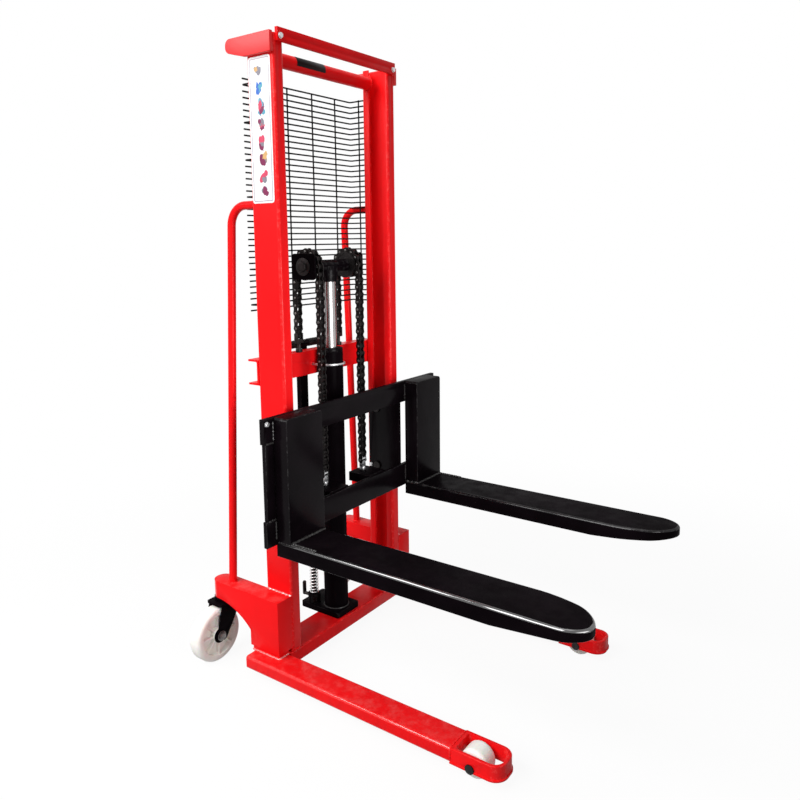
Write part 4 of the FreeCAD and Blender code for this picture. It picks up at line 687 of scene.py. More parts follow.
def printed(name, colour, roughness=0.35, specular=0.3):
    """Printed film of one colour with a faint mottle."""
    colour = tone_of(colour)
    return film(
        name, (colour, shade_of(colour, 0.9)), patch=60.0, roughness=roughness,
        rough=(roughness - 0.06, roughness + 0.08), rough_patch=40.0, specular=specular,
        peel=500.0, grain=2000.0, strength=0.06, depth=0.3 * MM)


def cast(name, base):
    """Cast plastic, scuffed and soiled towards the floor."""
    base = tone_of(base)
    finish = Finish(name, 0.42, Subsurface_Weight=0.12, Subsurface_Scale=0.004)
    grime = finish.place(floor_grime(), Height=0.16, Scale=60.0)
    tone = finish.drift(base, shade_of(base, 0.92), scale=22.0)
    finish.feed(finish.over(tone, grime["Grime"], (0.40, 0.36, 0.30), strength=0.06), "Base Color")
    finish.uneven((0.34, 0.52), scale=35.0)
    finish.skinned(peel=420.0, grain=1800.0, strength=0.12, depth=0.4 * MM)
    return finish.material


def streaked(name, colour, rough, stretch, metallic=1.0, tone=0.8):
    """Bare metal whose polish runs in streaks."""
    colour = tone_of(colour)
    finish = Finish(name, rough[0], metallic)
    place = finish.tree.nodes.new("ShaderNodeTexCoord")
    mapping = finish.tree.nodes.new("ShaderNodeMapping")
    mapping.inputs["Scale"].default_value = stretch
    finish.tree.links.new(place.outputs["Object"], mapping.inputs["Vector"])
    streaks = noise(finish.tree, scale=1.0, detail=4, roughness=0.6, vector=mapping.outputs["Vector"])
    finish.feed(between(finish.tree, streaks, 0.3, 0.7, *rough), "Roughness")
    finish.feed(finish.drift(colour, shade_of(colour, tone), scale=40.0), "Base Color")
    finish.bumped(streaks, strength=0.05, depth=0.3 * MM)
    return finish.material


# The slots' own finishes come first, then those of single pieces
RECIPES = {
    "red_paint": ("red enamel", red_enamel, dict(rough=(0.28, 0.42), edge_gloss=0.10)),
    "black_paint": ("black enamel", black_enamel, dict(edge_gloss=0.05, flat_gloss=0.004)),
    "black_wire": ("coated wire", film, dict(
        tones=((0.005, 0.005, 0.005), (0.010, 0.009, 0.009)), patch=30.0, roughness=0.45, rough=(0.38, 0.6),
        rough_patch=60.0, specular=0.03, peel=700.0, grain=2600.0, strength=0.15, depth=0.3 * MM)),
    "chrome": ("chromed rod", streaked, dict(
        colour="chrome", rough=(0.14, 0.26), stretch=(420, 420, 5), tone=0.9)),
    "zinc": ("zinc plate", streaked, dict(
        colour="zinc", rough=(0.24, 0.46), stretch=(160, 160, 160), tone=0.72)),
    "nylon": ("cast nylon", cast, dict(base="nylon")),
    "chain_steel": ("oiled chain", streaked, dict(
        colour="chain_steel", rough=(0.30, 0.52), stretch=(220, 220, 220), metallic=0.85, tone=0.55)),
    "spring_steel": ("spring wire", streaked, dict(
        colour=(0.86, 0.86, 0.86), rough=(0.20, 0.36), stretch=(300, 300, 80))),
    # Its faint warm tint is a painted reflection of the red paint round these parts.
    "dark_steel": ("dark steel", streaked, dict(
        colour=(0.030, 0.026, 0.026), rough=(0.30, 0.5), stretch=(190, 190, 190), metallic=0.9, tone=0.6)),
    # More of the pale pink on the upward faces of the brackets, legs and bars: painted top sheen.
    "red_edged": ("edged red enamel", red_enamel, dict(rough=(0.28, 0.42), edge_gloss=0.9, dust=0.16)),
    "red_sheen": ("fresh red enamel", red_enamel, dict(
        rough=(0.50, 0.55), edge_gloss=0.2, flat_gloss=0.8, coat_rough=0.45)),
    # Pinker base than the paint: a painted highlight on the ripples of the beads.
    "red_weld": ("red weld enamel", red_enamel, dict(
        rough=(0.16, 0.26), edge_gloss=0.1, flat_gloss=0.9, coat_rough=0.16, coat_ior=2.3,
        base=(0.95, 0.13, 0.13))),
    "black_edged": ("polished black enamel", black_enamel, dict(
        edge_gloss=0.9, flat_gloss=0.001, coat_rough=0.05, peel=0.02, coat_ior=2.2)),
    "black_satin": ("satin black enamel", black_enamel, dict(
        edge_gloss=0.3, flat_gloss=0.004, coat_rough=0.08, peel=0.02)),
    "black_sheen": ("glossy black enamel", black_enamel, dict(
        edge_gloss=0.04, flat_gloss=0.08, coat_rough=0.22, peel=0.05)),
    "black_weld": ("black weld enamel", black_enamel, dict(
        edge_gloss=0.1, flat_gloss=0.20, coat_rough=0.25, base=(0.014, 0.013, 0.013))),
    "pin_steel": ("chain pin steel", streaked, dict(
        colour=(0.20, 0.19, 0.185), rough=(0.22, 0.42), stretch=(240, 240, 240), tone=0.6)),
    "rubber": ("grip rubber", film, dict(
        tones=((0.014, 0.014, 0.014), (0.026, 0.025, 0.024)), patch=50.0, roughness=0.68, rough=(0.6, 0.8),
        rough_patch=45.0, specular=0.3, peel=900.0, grain=2400.0, strength=0.25, depth=0.4 * MM)),
    "panel_film": ("panel film", printed, dict(colour="panel", roughness=0.3)),
    "panel_frame": ("panel frame", printed, dict(colour=(0.40, 0.34, 0.40))),
    "plate_enamel": ("plate enamel", printed, dict(
        colour=(0.004, 0.003, 0.003), roughness=0.4, specular=0.1)),
    "ink_grey": ("motif ink 0", printed, dict(colour=(0.22, 0.21, 0.25))),
    "ink_sand": ("motif ink 1", printed, dict(colour=(0.60, 0.36, 0.14))),
    "ink_blue": ("motif ink 2", printed, dict(colour=(0.03, 0.13, 0.50))),
    "ink_teal": ("motif ink 3", printed, dict(colour=(0.09, 0.34, 0.46))),
    "ink_wine": ("motif ink 4", printed, dict(colour=(0.20, 0.02, 0.08))),
    "ink_rose": ("motif ink 5", printed, dict(colour=(0.60, 0.06, 0.12))),
}


def finish_of(recipe):
    """Material of a recipe, made at its first use."""
    name, make, values = RECIPES[recipe]
    return bpy.data.materials.get(name) or make(name, **values)


class STACKER_OT_red_frame(bpy.types.Operator):
    """Round the edges of the mast, base and tail"""

    bl_idname = "stacker.red_frame"
    bl_label = "Red frame"

    def execute(self, context):
        plate, sheet = sizes().plate_edge, sizes().sheet_edge
        for node in ("mast_column_left", "mast_column_right", "rear_cross_channel"):
            softened(node, plate)
        softened("top_front_bar", plate, finish="red_edged")
        softened("top_side_plates", plate * 1.4, segments=3, finish="red_sheen")
        softened("bracket_feet", plate * 1.2, finish="red_edged")
        for word in SIDES.values():
            softened("caster_bracket_" + word, sheet, segments=3, finish="red_edged")
            softened("roller_housing_" + word, sizes().small_edge)
            softened("straddle_leg_" + word, sheet * 1.4, segments=3, finish="red_edged")
        softened("base_cross_beam", plate)
        return {"FINISHED"}


class STACKER_OT_carriage(bpy.types.Operator):
    """Round the edges of the forks and the carriage"""

    bl_idname = "stacker.carriage"
    bl_label = "Carriage"

    def nose(self, fork):
        """Draw in the inner edge of a fork towards its tip."""
        cuts = 6
        curve = 1.8
        length = sizes().nose_length
        corners = [vertex.co.copy() for vertex in fork.data.vertices]
        tip = max(corner.x for corner in corners)
        outer = max((corner.y for corner in corners), key=lambda y: abs(y - MAST_MIDDLE))
        inner = min((corner.y for corner in corners), key=lambda y: abs(y - MAST_MIDDLE))
        with Editing(fork):
            for cut in range(cuts):
                bpy.ops.mesh.select_all(action="SELECT")
                bpy.ops.mesh.bisect(plane_co=(tip - length * (1 - cut / cuts), 0, 0), plane_no=(1, 0, 0))
            shape = bmesh.from_edit_mesh(fork.data)
            for vertex in shape.verts:
                along = max(0.0, 1 - (tip - vertex.co.x) / length)
                across = (outer - vertex.co.y) / (outer - inner)
                drawn = sizes().nose_inset * along ** curve * across
                vertex.co.y += math.copysign(drawn, outer - inner)
            bmesh.update_edit_mesh(fork.data)

    def execute(self, context):
        plate = sizes().plate_edge
        for word, finish in (("left", "black_satin"), ("right", "black_edged")):
            softened("fork_" + word, plate, finish=finish, form=self.nose, least_rise=0.2)
            softened("fork_upright_" + word, plate * 1.5, segments=3, finish="black_sheen")
        for node in ("upper_carriage_bar", "lower_carriage_bar", "carriage_end_strips", "roller_plates"):
            softened(node, plate, finish="black_sheen")
        softened("anchor_blocks", plate * 1.3)
        return {"FINISHED"}


class STACKER_OT_guard(bpy.types.Operator):
    """Bend and weld the wires of the guard"""

    bl_idname = "stacker.guard"
    bl_label = "Wire guard"

    def execute(self, context):
        wire = sizes().guard_wire
        sink = 0.4 * MM
        bend = 5 * MM
        upright_gap = 120 * MM
        end_inset = 14 * MM
        wing_every, first_wing = 6, 1
        nugget_share = 1.25
        low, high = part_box("mesh_guard")
        rear = low.x + wire * 3 - sink
        wing = high.y - wire - MAST_MIDDLE
        half = [(high.x, wing)]
        for angle in (0, 30, 60, 90):
            turn = math.radians(angle)
            half.append((rear + bend * (1 - math.sin(turn)), wing - bend * (1 - math.cos(turn))))
        pitch = (high.z - low.z - 2 * wire) / (sizes().guard_rows - 1)
        rows = []
        for row in range(sizes().guard_rows):
            height = low.z + wire + row * pitch
            near = half if row % wing_every == first_wing else [(rear, wing)]
            points = [Vector((x, MAST_MIDDLE + y, height)) for x, y in half]
            points += [Vector((x, MAST_MIDDLE - y, height)) for x, y in reversed(near)]
            rows.append(points)
        feet = []
        for number in range(sizes().guard_uprights):
            offset = (number - (sizes().guard_uprights - 1) / 2) * upright_gap
            feet.append(Vector((low.x + wire, MAST_MIDDLE + offset, 0)))
        crossings = [foot + Vector((wire, 0, 0)) for foot in feet]
        for side in SIDES:
            feet.append(Vector((high.x - end_inset - wire, MAST_MIDDLE + side * (wing - 2 * wire + sink), 0)))
        uprights = [[foot + Vector((0, 0, low.z)), foot + Vector((0, 0, high.z))] for foot in feet]
        guard = tube("guard_wires", rows + uprights, wire)
        bpy.ops.object.select_all(action="DESELECT")
        bpy.ops.mesh.primitive_ico_sphere_add(subdivisions=1, radius=wire * nugget_share)
        nugget = shaded(named("nugget"), angle=80)
        spots = []
        for crossing in crossings:
            for points in rows:
                place = crossing + Vector((0, 0, points[0].z))
                spots.append(copied(nugget, "spot", Matrix.Translation(place)))
        removed(nugget)
        settled(joined("guard_wires", [guard] + spots), "chassis", "black_wire", ["mesh_guard"])
        return {"FINISHED"}


class STACKER_OT_chains(bpy.types.Operator):
    """Build the lift chains link by link"""

    bl_idname = "stacker.chains"
    bl_label = "Lift chains"

    def link_plate(self):
        """One waisted link plate, upright round the world's middle."""
        sides = 18
        end_radius = 10.2 * MM
        waist = 0.74
        half = sizes().chain_pitch / 2
        bpy.ops.object.select_all(action="DESELECT")
        bpy.ops.mesh.primitive_cylinder_add(
            vertices=sides, radius=end_radius, depth=sizes().chain_plate,
            rotation=(math.pi / 2, math.pi / sides, 0))
        plate = placed(named("plate"))
        with Editing(plate) as edit:
            edit.points(lambda place: place.z > 0)
            bpy.ops.transform.translate(value=(0, 0, half))
            edit.points(lambda place: place.z < 0)
            bpy.ops.transform.translate(value=(0, 0, -half))
            bpy.ops.mesh.select_all(action="SELECT")
            bpy.ops.mesh.bisect(plane_co=(0, 0, 0), plane_no=(0, 0, 1))
            edit.points(lambda place: abs(place.z) < 0.1 * MM)
            bpy.ops.transform.resize(value=(waist, 1, 1), center_override=(0, 0, 0))
        return shaded(rounded(plate, 0.45 * MM, segments=1, angle=40), angle=30)

    def crossbar(self, name, reach, radius, sides, edge, segments):
        """One pin or roller across the world's middle."""
        piece = bar(name, Vector((0, -reach, 0)), Vector((0, reach, 0)), radius, sides)
        return shaded(rounded(piece, edge, segments), angle=50)

    def strand(self, stops, first_layer):
        """Plates and rollers, and pins, along a row of pin places."""
        plates = []
        pins = []
        for place in stops:
            across = Matrix.Translation(place)
            pins.append(copied(self.pin_shape, "pin", across))
            plates.append(copied(self.roller_shape, "roller", across))
        for number, (start, end) in enumerate(zip(stops, stops[1:])):
            outer = (number + first_layer) % 2
            shift = sizes().chain_gap / 2 + sizes().chain_plate * (outer + 0.5)
            way = end - start
            lean = Matrix.Rotation(math.atan2(way.x, way.z), 4, "Y")
            for side in SIDES:
                middle = (start + end) / 2 + Vector((0, side * shift, 0))
                plates.append(copied(self.plate_shape, "plate", Matrix.Translation(middle) @ lean))
        return plates, pins

    def execute(self, context):
        pitch = sizes().chain_pitch
        inside = sizes().chain_gap / 2
        pin_reach = inside + 2 * sizes().chain_plate + 1.3 * MM
        roller_reach = inside - 0.2 * MM
        self.plate_shape = self.link_plate()
        self.pin_shape = self.crossbar("pin", pin_reach, radius=4.1 * MM, sides=14, edge=1.0 * MM, segments=2)
        self.roller_shape = self.crossbar(
            "roller", roller_reach, radius=7.9 * MM, sides=16, edge=0.6 * MM, segments=1)
        hub = middle_of("chain_wheel_left")
        front_links, wrap_links, rear_links = 27, 6, 9
        pitch_radius = pitch / (2 * math.sin(math.pi / (2 * wrap_links)))
        down = Vector((0, 0, -pitch))
        groups = {"front": ([], []), "wrap": ([], []), "rear": ([], [])}
        for side in SIDES:
            middle = Vector((hub.x, MAST_MIDDLE + side * (hub.y - MAST_MIDDLE), hub.z))
            front = middle + Vector((pitch_radius, 0, 0))
            rear = middle - Vector((pitch_radius, 0, 0))
            wrap = []
            for step in range(wrap_links + 1):
                angle = math.pi * step / wrap_links
                wrap.append(middle + Vector((math.cos(angle), 0, math.sin(angle))) * pitch_radius)
            rows = {
                "front": ([front + down * step for step in range(front_links + 1)], 1),
                "wrap": (wrap, 0),
                "rear": ([rear + down * step for step in range(rear_links + 1)], 0),
            }
            for name, (stops, first_layer) in rows.items():
                plates, pins = self.strand(stops, first_layer)
                groups[name][0].extend(plates)
                groups[name][1].extend(pins)
        for shape in (self.plate_shape, self.pin_shape, self.roller_shape):
            removed(shape)
        for name, (plates, pins) in groups.items():
            links = dressed(joined("chain_%s_links" % name, plates), "chain_steel")
            rivets = dressed(joined("chain_%s_pins" % name, pins), "zinc", "pin_steel")
            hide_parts("chain_%ss" % name)
            for piece in (links, rivets):
                if name == "front":
                    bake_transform(piece)
                elif name == "rear":
                    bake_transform(piece)
                else:
                    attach(piece, "ram")
        return {"FINISHED"}


class STACKER_OT_lifting_head(bpy.types.Operator):
    """Finish the crosshead, cheeks, axle nuts and cylinder head"""

    bl_idname = "stacker.lifting_head"
    bl_label = "Lifting head"

    def execute(self, context):
        small = sizes().small_edge
        softened("crosshead", small)
        softened("wheel_cheeks", small * 1.4)
        softened("wheel_axle", small)
        softened("cylinder_gland", small)
        nut_radius, nut_height, sunk = 15.4 * MM, 7.6 * MM, 7 * MM
        middle = middle_of("wheel_axle")
        nuts = []
        for side in SIDES:
            seat = Vector((middle.x, outer_y("wheel_axle", side) - side * sunk, middle.z))
            nuts.append(hexagon("nut", seat, Vector((0, side, 0)), nut_radius, nut_height))
        settled(joined("axle_nuts", nuts), "ram", "dark_steel")
        return {"FINISHED"}


class STACKER_OT_hand_pump(bpy.types.Operator):
    """Wind the plunger spring and finish the pump and its lever"""

    bl_idname = "stacker.hand_pump"
    bl_label = "Hand pump"

    def spring(self):
        """Helix with a dead coil at each end, pressed between pump and cap."""
        low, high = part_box("plunger_spring")
        wire = sizes().spring_wire
        centre = (low + high) / 2
        radius = (high.x - low.x) / 2 - wire
        dead, pressed, points_a_turn = 1.0, 0.98, 22
        turns = sizes().spring_turns + 2 * dead
        dead_rise = 2 * wire * pressed
        span = high.z - low.z - 2 * wire - 2 * dead * dead_rise
        points = []
        steps = round(turns * points_a_turn)
        for step in range(steps + 1):
            turn = turns * step / steps
            open_turn = min(max(turn - dead, 0), sizes().spring_turns)
            closed = min(turn, dead) + max(turn - dead - sizes().spring_turns, 0)
            rise = open_turn / sizes().spring_turns * span + closed * dead_rise
            angle = 2 * math.pi * turn
            side = Vector((math.cos(angle), math.sin(angle), 0)) * radius
            points.append(Vector((centre.x, centre.y, low.z + wire + rise)) + side)
        spring = dressed(tube("plunger_coil", [points], wire, rings=2), "spring_steel")
        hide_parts("plunger_spring")
        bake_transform(spring)

    def grips(self):
        """Ribbed rubber sleeves on the lever's cross grip."""
        low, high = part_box("pump_lever")
        radius = 12.5 * MM
        bar_depth = 12.0 * MM
        outside, inside = 1 * MM, 66 * MM
        steps, rib, groove = 40, 1.10, 1.02
        sleeves = []
        for start, end in ((low.y + outside, low.y + inside), (high.y - inside, high.y - outside)):
            points = []
            swell = []
            for step in range(steps + 1):
                along = start + (end - start) * (step / steps)
                points.append(Vector((low.x + bar_depth, along, high.z - radius)))
                swell.append(rib if step % 4 in (1, 2) else groove)
            sleeves.append(tube("sleeve", [points], radius, rings=3, swell=[swell]))
        settled(joined("lever_sleeves", sleeves), "pump_lever", "black_paint", finish="rubber")

    def execute(self, context):
        small = sizes().small_edge
        for node in ("pump_body", "pump_lever", "lever_bracket", "release_valve"):
            softened(node, small)
        softened("pump_plunger", small, finish="dark_steel")
        softened("pump_base_plate", small * 1.6)
        self.spring()
        self.grips()
        return {"FINISHED"}


class STACKER_OT_wheels(bpy.types.Operator):
    """Finish the rollers, casters and their nuts"""

    bl_idname = "stacker.wheels"
    bl_label = "Wheels"

    def execute(self, context):
        small = sizes().small_edge
        nut_radius, nut_height, sunk = 12.3 * MM, 7.3 * MM, 7 * MM
        washer_radius, washer_height = 16.5 * MM, 1.6 * MM
        for word in SIDES.values():
            softened("caster_wheel_" + word, small * 1.6, angle=40)
            softened("caster_yoke_" + word, small * 1.3)
            softened("front_roller_" + word, small, angle=40)
            low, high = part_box("caster_yoke_" + word)
            axle = middle_of("caster_wheel_" + word)
            nuts = []
            for outward, face in ((Vector((1, 0, 0)), high.x), (Vector((-1, 0, 0)), low.x)):
                seat = Vector((face, axle.y, axle.z)) - outward * sunk
                nuts.append(hexagon("nut", seat, outward, nut_radius, nut_height))
                nuts.append(washer("washer", seat, outward, washer_radius, washer_height))
            settled(joined("caster_nuts_" + word, nuts), "caster_swivel_" + word, "zinc", finish="pin_steel")
        softened("swivel_heads", small)
        softened("roller_axles", small * 1.3)
        return {"FINISHED"}


class STACKER_OT_fasteners(bpy.types.Operator):
    """Put hexagon heads and washers on the bolts"""

    bl_idname = "stacker.fasteners"
    bl_label = "Fasteners"

    def heads(self, name, body, seats, radius, washer_share):
        """Hexagon heads on washers, on seats that face outward."""
        head_share, head_height, washer_height = 1.02, 5.4 * MM, 1.2 * MM
        parts = []
        for seat, outward in seats:
            parts.append(hexagon("head", seat, outward, radius * head_share, head_height))
            parts.append(washer("washer", seat, outward, radius * washer_share, washer_height))
        settled(joined(name, parts), body, "zinc")

    def execute(self, context):
        forward = Vector((1, 0, 0))
        low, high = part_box("top_bar_bolts")
        radius = (high.z - low.z) / 2
        height = (low.z + high.z) / 2
        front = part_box("top_front_bar")[1].x
        seats = [(Vector((front, y, height)), forward) for y in (high.y - radius, low.y + radius)]
        self.heads("top_bar_heads", "chassis", seats, radius, washer_share=1.35)
        low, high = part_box("upper_carriage_bar")
        inset = 16 * MM
        seats = [(Vector((high.x, y, high.z - inset)), forward) for y in (high.y - inset, low.y + inset)]
        self.heads("stop_bolt_heads", "carriage", seats, radius, washer_share=1.3)
        thick, rear_share = 12 * MM, 1.2
        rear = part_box("roller_plates")[0].x + radius * rear_share
        height = middle_of("guide_roller_lower_left").z
        seats = []
        for side in SIDES:
            face = outer_y("roller_plates", side) - side * thick
            seats.append((Vector((rear, face, height)), Vector((0, -side, 0))))
        self.heads("side_bolt_heads", "carriage", seats, radius, washer_share=1.15)
        softened("cylinder_u_bolt", sizes().small_edge * 0.6)
        softened("front_chain_anchors", sizes().small_edge, finish="zinc")
        softened("rear_chain_anchors", sizes().small_edge)
        return {"FINISHED"}


class STACKER_OT_welds(bpy.types.Operator):
    """Lay the weld beads, which stop a few millimetres short of the edges"""

    bl_idname = "stacker.welds"
    bl_label = "Weld beads"

    def red_runs(self, side, word):
        """Runs of the beads on the mast, base and tail."""
        handle_foot, handle_end, handle_radius = (-233, 329, 266), (-110.5, 276, 1487), 13.3 * MM
        beam_low, beam_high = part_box("base_cross_beam")
        plate_low, plate_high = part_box("top_side_plates")
        tie_low, tie_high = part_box("top_tie_bar")
        tie = (tie_low + tie_high) / 2
        channel_low, channel_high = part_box("rear_cross_channel")
        column_low, column_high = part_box("mast_column_" + word)
        column_inner = inner_y("mast_column_" + word, side)
        leg_inner = inner_y("straddle_leg_" + word, side)
        inner = inner_y("caster_bracket_" + word, side)
        beside = inner + side * 0.6 * MM
        tie_end = outer_y("top_tie_bar", side) - side * 0.5 * MM
        runs = [
            run((column_high.x, column_inner + side * 6 * MM, column_low.z),
                (column_high.x, inner - side * 2 * MM, column_low.z)),
            run((beam_high.x, leg_inner, beam_high.z - 8 * MM),
                (beam_high.x, leg_inner, beam_low.z + 7 * MM)),
            run((plate_high.x - 8 * MM, beside, plate_low.z),
                (column_low.x + 10 * MM, beside, plate_low.z)),
            ring(Vector((tie.x, tie_end, tie.z)), (0, 1, 0), (tie_high.z - tie_low.z) / 2, count=30),
        ]
        for (x, y, z), axis in ((handle_foot, (0, 0, 1)), (handle_end, (1, 0, 0))):
            runs.append(ring(at(x, side * y, z), axis, handle_radius, count=20))
        for height in (channel_high.z, channel_low.z):
            runs.append(run(
                (column_low.x, inner - side * 4 * MM, height),
                (column_low.x, column_inner + side * 4 * MM, height)))
        return runs

    def step_runs(self, side, word):
        """Runs on the steps of the brackets and their feet."""
        foot_low, foot_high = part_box("bracket_feet")
        low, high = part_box("caster_bracket_" + word)
        inner = inner_y("caster_bracket_" + word, side)
        foot_outer = outer_y("bracket_feet", side)
        beside = inner + side * 0.6 * MM
        column_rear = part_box("mast_column_" + word)[0].x
        runs = [run((high.x - 1 * MM, beside, high.z), (column_rear + 6 * MM, beside, high.z))]
        for height in (low.z, foot_low.z):
            runs.append(run(
                (foot_low.x, foot_outer, height),
                (foot_high.x, foot_outer, height),
                (foot_high.x, inner + side * 10 * MM, height)))
        return runs

    def groove_runs(self, side, word):
        """Runs that fill the grooves between the brackets and the columns."""
        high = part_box("caster_bracket_" + word)[1]
        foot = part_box("bracket_feet")[0].z
        inner = inner_y("caster_bracket_" + word, side)
        face = high.x - 3.6 * MM
        return [run((face, inner, high.z - 2 * MM), (face, inner, foot + 2 * MM))]

    def housing_runs(self, side, word):
        """Runs where the roller housings meet the legs."""
        low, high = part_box("straddle_leg_" + word)
        corner, stop = 7 * MM, 8 * MM
        return [run(
            (high.x, low.y, low.z + stop), (high.x, low.y, high.z - corner),
            (high.x, low.y + corner, high.z), (high.x, high.y - corner, high.z),
            (high.x, high.y, high.z - corner), (high.x, high.y, low.z + stop))]

    def black_runs(self, side, word):
        """Runs of the beads on the carriage."""
        upper_low, upper_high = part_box("upper_carriage_bar")
        lower_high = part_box("lower_carriage_bar")[1]
        strip_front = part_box("carriage_end_strips")[1].x
        strip_end = outer_y("carriage_end_strips", side)
        block_low, block_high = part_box("anchor_blocks")
        block_width = 92 * MM
        upright = "fork_upright_" + word
        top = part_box("fork_" + word)[1].z
        runs = []
        for edge in (inner_y(upright, side), outer_y(upright, side)):
            runs.append(run(
                (upper_high.x, edge, upper_low.z + 6 * MM), (upper_high.x, edge, upper_high.z - 12 * MM)))
            runs.append(run(
                (lower_high.x, edge, top + 6 * MM), (lower_high.x, edge, lower_high.z - 6 * MM)))
        for height in (upper_low.z, lower_high.z):
            runs.append(run(
                (strip_front, strip_end - side * 3 * MM, height),
                (strip_front, strip_end - side * 34 * MM, height)))
        for y in (block_high.y, block_high.y - block_width):
            place = MAST_MIDDLE + side * (y - MAST_MIDDLE)
            runs.append(run(
                (block_high.x, place, block_low.z + 4 * MM), (block_high.x, place, block_high.z - 6 * MM)))
        return runs

    def heel_runs(self, side, word):
        """Runs round the feet of the uprights."""
        upright = "fork_upright_" + word
        low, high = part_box(upright)
        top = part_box("fork_" + word)[1].z
        front = high.x + 1 * MM
        return [run(
            (low.x + 2 * MM, inner_y(upright, side), top),
            (front, inner_y(upright, side) + side * 2 * MM, top),
            (front, outer_y(upright, side) - side * 4 * MM, top))]

    def tail_runs(self, side, word):
        """Double runs along each fork's outer edge, beside and ahead of the upright."""
        upright = "fork_upright_" + word
        low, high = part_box(upright)
        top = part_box("fork_" + word)[1].z
        runs = []
        for inset, drop in ((2.5 * MM, 1.6 * MM), (9 * MM, 0)):
            edge = outer_y(upright, side) - side * inset
            runs.append(run((low.x + 4 * MM, edge, top - drop), (high.x + 92 * MM, edge, top - drop)))
        return runs

    def laid(self, name, body, runs, **settings):
        """Bead along the runs of both sides."""
        slot = {"chassis": "red_paint", "carriage": "black_paint"}[body]
        both = [points for side, word in SIDES.items() for points in runs(side, word)]
        bead(name, body, slot, both, **settings)

    def execute(self, context):
        self.laid("welds_red", "chassis", self.red_runs, seed=3)
        # The step beads' pinker base is a painted highlight.
        self.laid("welds_step", "chassis", self.step_runs, share=1.3, seed=6, finish="red_weld")
        self.laid("welds_groove", "chassis", self.groove_runs, share=1.5, seed=4)
        self.laid("welds_housing", "chassis", self.housing_runs, share=0.7, seed=5)
        self.laid("welds_black", "carriage", self.black_runs, seed=7, finish="black_weld")
        self.laid("welds_heel", "carriage", self.heel_runs, share=1.5, seed=8, finish="black_weld")
        self.laid("welds_tail", "carriage", self.tail_runs, share=0.9, seed=10, finish="black_weld")
        low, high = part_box("lift_cylinder")
        middle = (low + high) / 2
        foot = ring(Vector((middle.x, middle.y, low.z)), (0, 0, 1), (high.x - low.x) / 2, count=48)
        bead("weld_cylinder", "chassis", "black_paint", [foot], share=1.2, seed=9, finish="black_weld")
        return {"FINISHED"}


class STACKER_OT_plates(bpy.types.Operator):
    """Put the plain panel on the column and the plain plate on the tie bar"""

    bl_idname = "stacker.plates"
    bl_label = "Plates"

    def panel(self):
        """White panel with a thin frame line."""
        low, high = at(-103, -297.55, 1489), at(-14, -297.0, 1907)
        corner, margin, line = 9 * MM, 5 * MM, 3 * MM
        panel = block("mast_panel", low, high)
        with Editing(panel) as edit:
            edit.edges(lambda way: abs(way.y) > ALIGNED)
            bpy.ops.mesh.bevel(offset=corner, segments=5, affect="EDGES")
            edit.faces(lambda middle, normal: normal.y < -ALIGNED)
            bpy.ops.mesh.inset(thickness=margin)
            bpy.ops.mesh.inset(thickness=line)
        settled(panel, "chassis", "red_paint", finish="panel_film")
        panel.data.materials.append(finish_of("panel_frame"))
        middle_area = 0.01
        for face in panel.data.polygons:
            x, y, z = face.center
            inside = min(x - low.x, high.x - x, z - low.z, high.z - z)
            if face.normal.y < -ALIGNED and face.area < middle_area and inside > margin + 0.2 * MM:
                face.material_index = 1

    def motifs(self):
        """Loose clusters of plain pills, discs and diamonds, one above the other on the panel."""
        cells = (
            (1866, -70, 22, "grey grey sand"),
            (1815, -66, 36, "blue blue teal blue"),
            (1762, -58, 34, "teal teal wine rose"),
            (1714, -60, 30, "wine rose grey wine"),
            (1662, -58, 32, "rose wine rose grey"),
            (1618, -58, 32, "sand grey wine sand"),
            (1566, -58, 26, "wine rose grey"),
            (1524, -56, 28, "wine grey wine"),
        )
        chance = random.Random(21)
        ahead, face, stray, spread, lean_most = 5, -297.5, 10, 0.4, 0.7
        first_lift, lift_step = 0.1, 0.01
        layers = {}
        for height, x, tall, inks in cells:
            for ink in inks.split() * 2:
                lift = first_lift + lift_step * sum(len(shapes) for shapes in layers.values())
                along = x + ahead + chance.uniform(-stray, stray)
                spot = at(along, face, height + chance.uniform(-spread, spread) * tall)
                top = spot - Vector((0, lift, 0)) * MM
                shape = bar("motif", spot, top, 0.5 * MM, chance.choice((4, 12, 12)))
                with Editing(shape):
                    wide = chance.uniform(9, 19)
                    long = wide * chance.uniform(1.0, 2.2)
                    lean = chance.uniform(-lean_most, lean_most)
                    bpy.ops.transform.resize(value=(wide, 1, long), center_override=spot)
                    bpy.ops.transform.rotate(value=lean, orient_axis="Y", center_override=spot)
                layers.setdefault(ink, []).append(shape)
        for number, (ink, shapes) in enumerate(layers.items()):
            motifs = joined("panel_motifs_%d" % number, shapes)
            settled(motifs, "chassis", "red_paint", finish="ink_" + ink)

    def tie_plate(self):
        """Black plate curved to the tie bar."""
        low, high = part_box("top_tie_bar")
        middle = (low + high) / 2
        thick, right, left = 0.7 * MM, 125 * MM, 9 * MM
        lowest, highest = -24, 63
        radius = (high.z - low.z) / 2 + thick
        start = Vector((middle.x, MAST_MIDDLE - right, middle.z))
        end = Vector((middle.x, MAST_MIDDLE + left, middle.z))

        def outside(place, normal):
            angle = math.degrees(math.atan2(place.z - middle.z, place.x - middle.x))
            return abs(normal.y) > ALIGNED or not lowest < angle < highest

        plate = bar("tie_bar_plate", start, end, radius, sides=96)
        with Editing(plate) as edit:
            edit.faces(outside)
            bpy.ops.mesh.delete(type="FACE")
        applied(plate, "SOLIDIFY", thickness=thick, offset=-1)
        shaded(rounded(plate, 0.25 * MM, angle=50), angle=30)
        settled(plate, "chassis", "black_paint", finish="plate_enamel")

    def execute(self, context):
        self.panel()
        self.motifs()
        self.tie_plate()
        return {"FINISHED"}


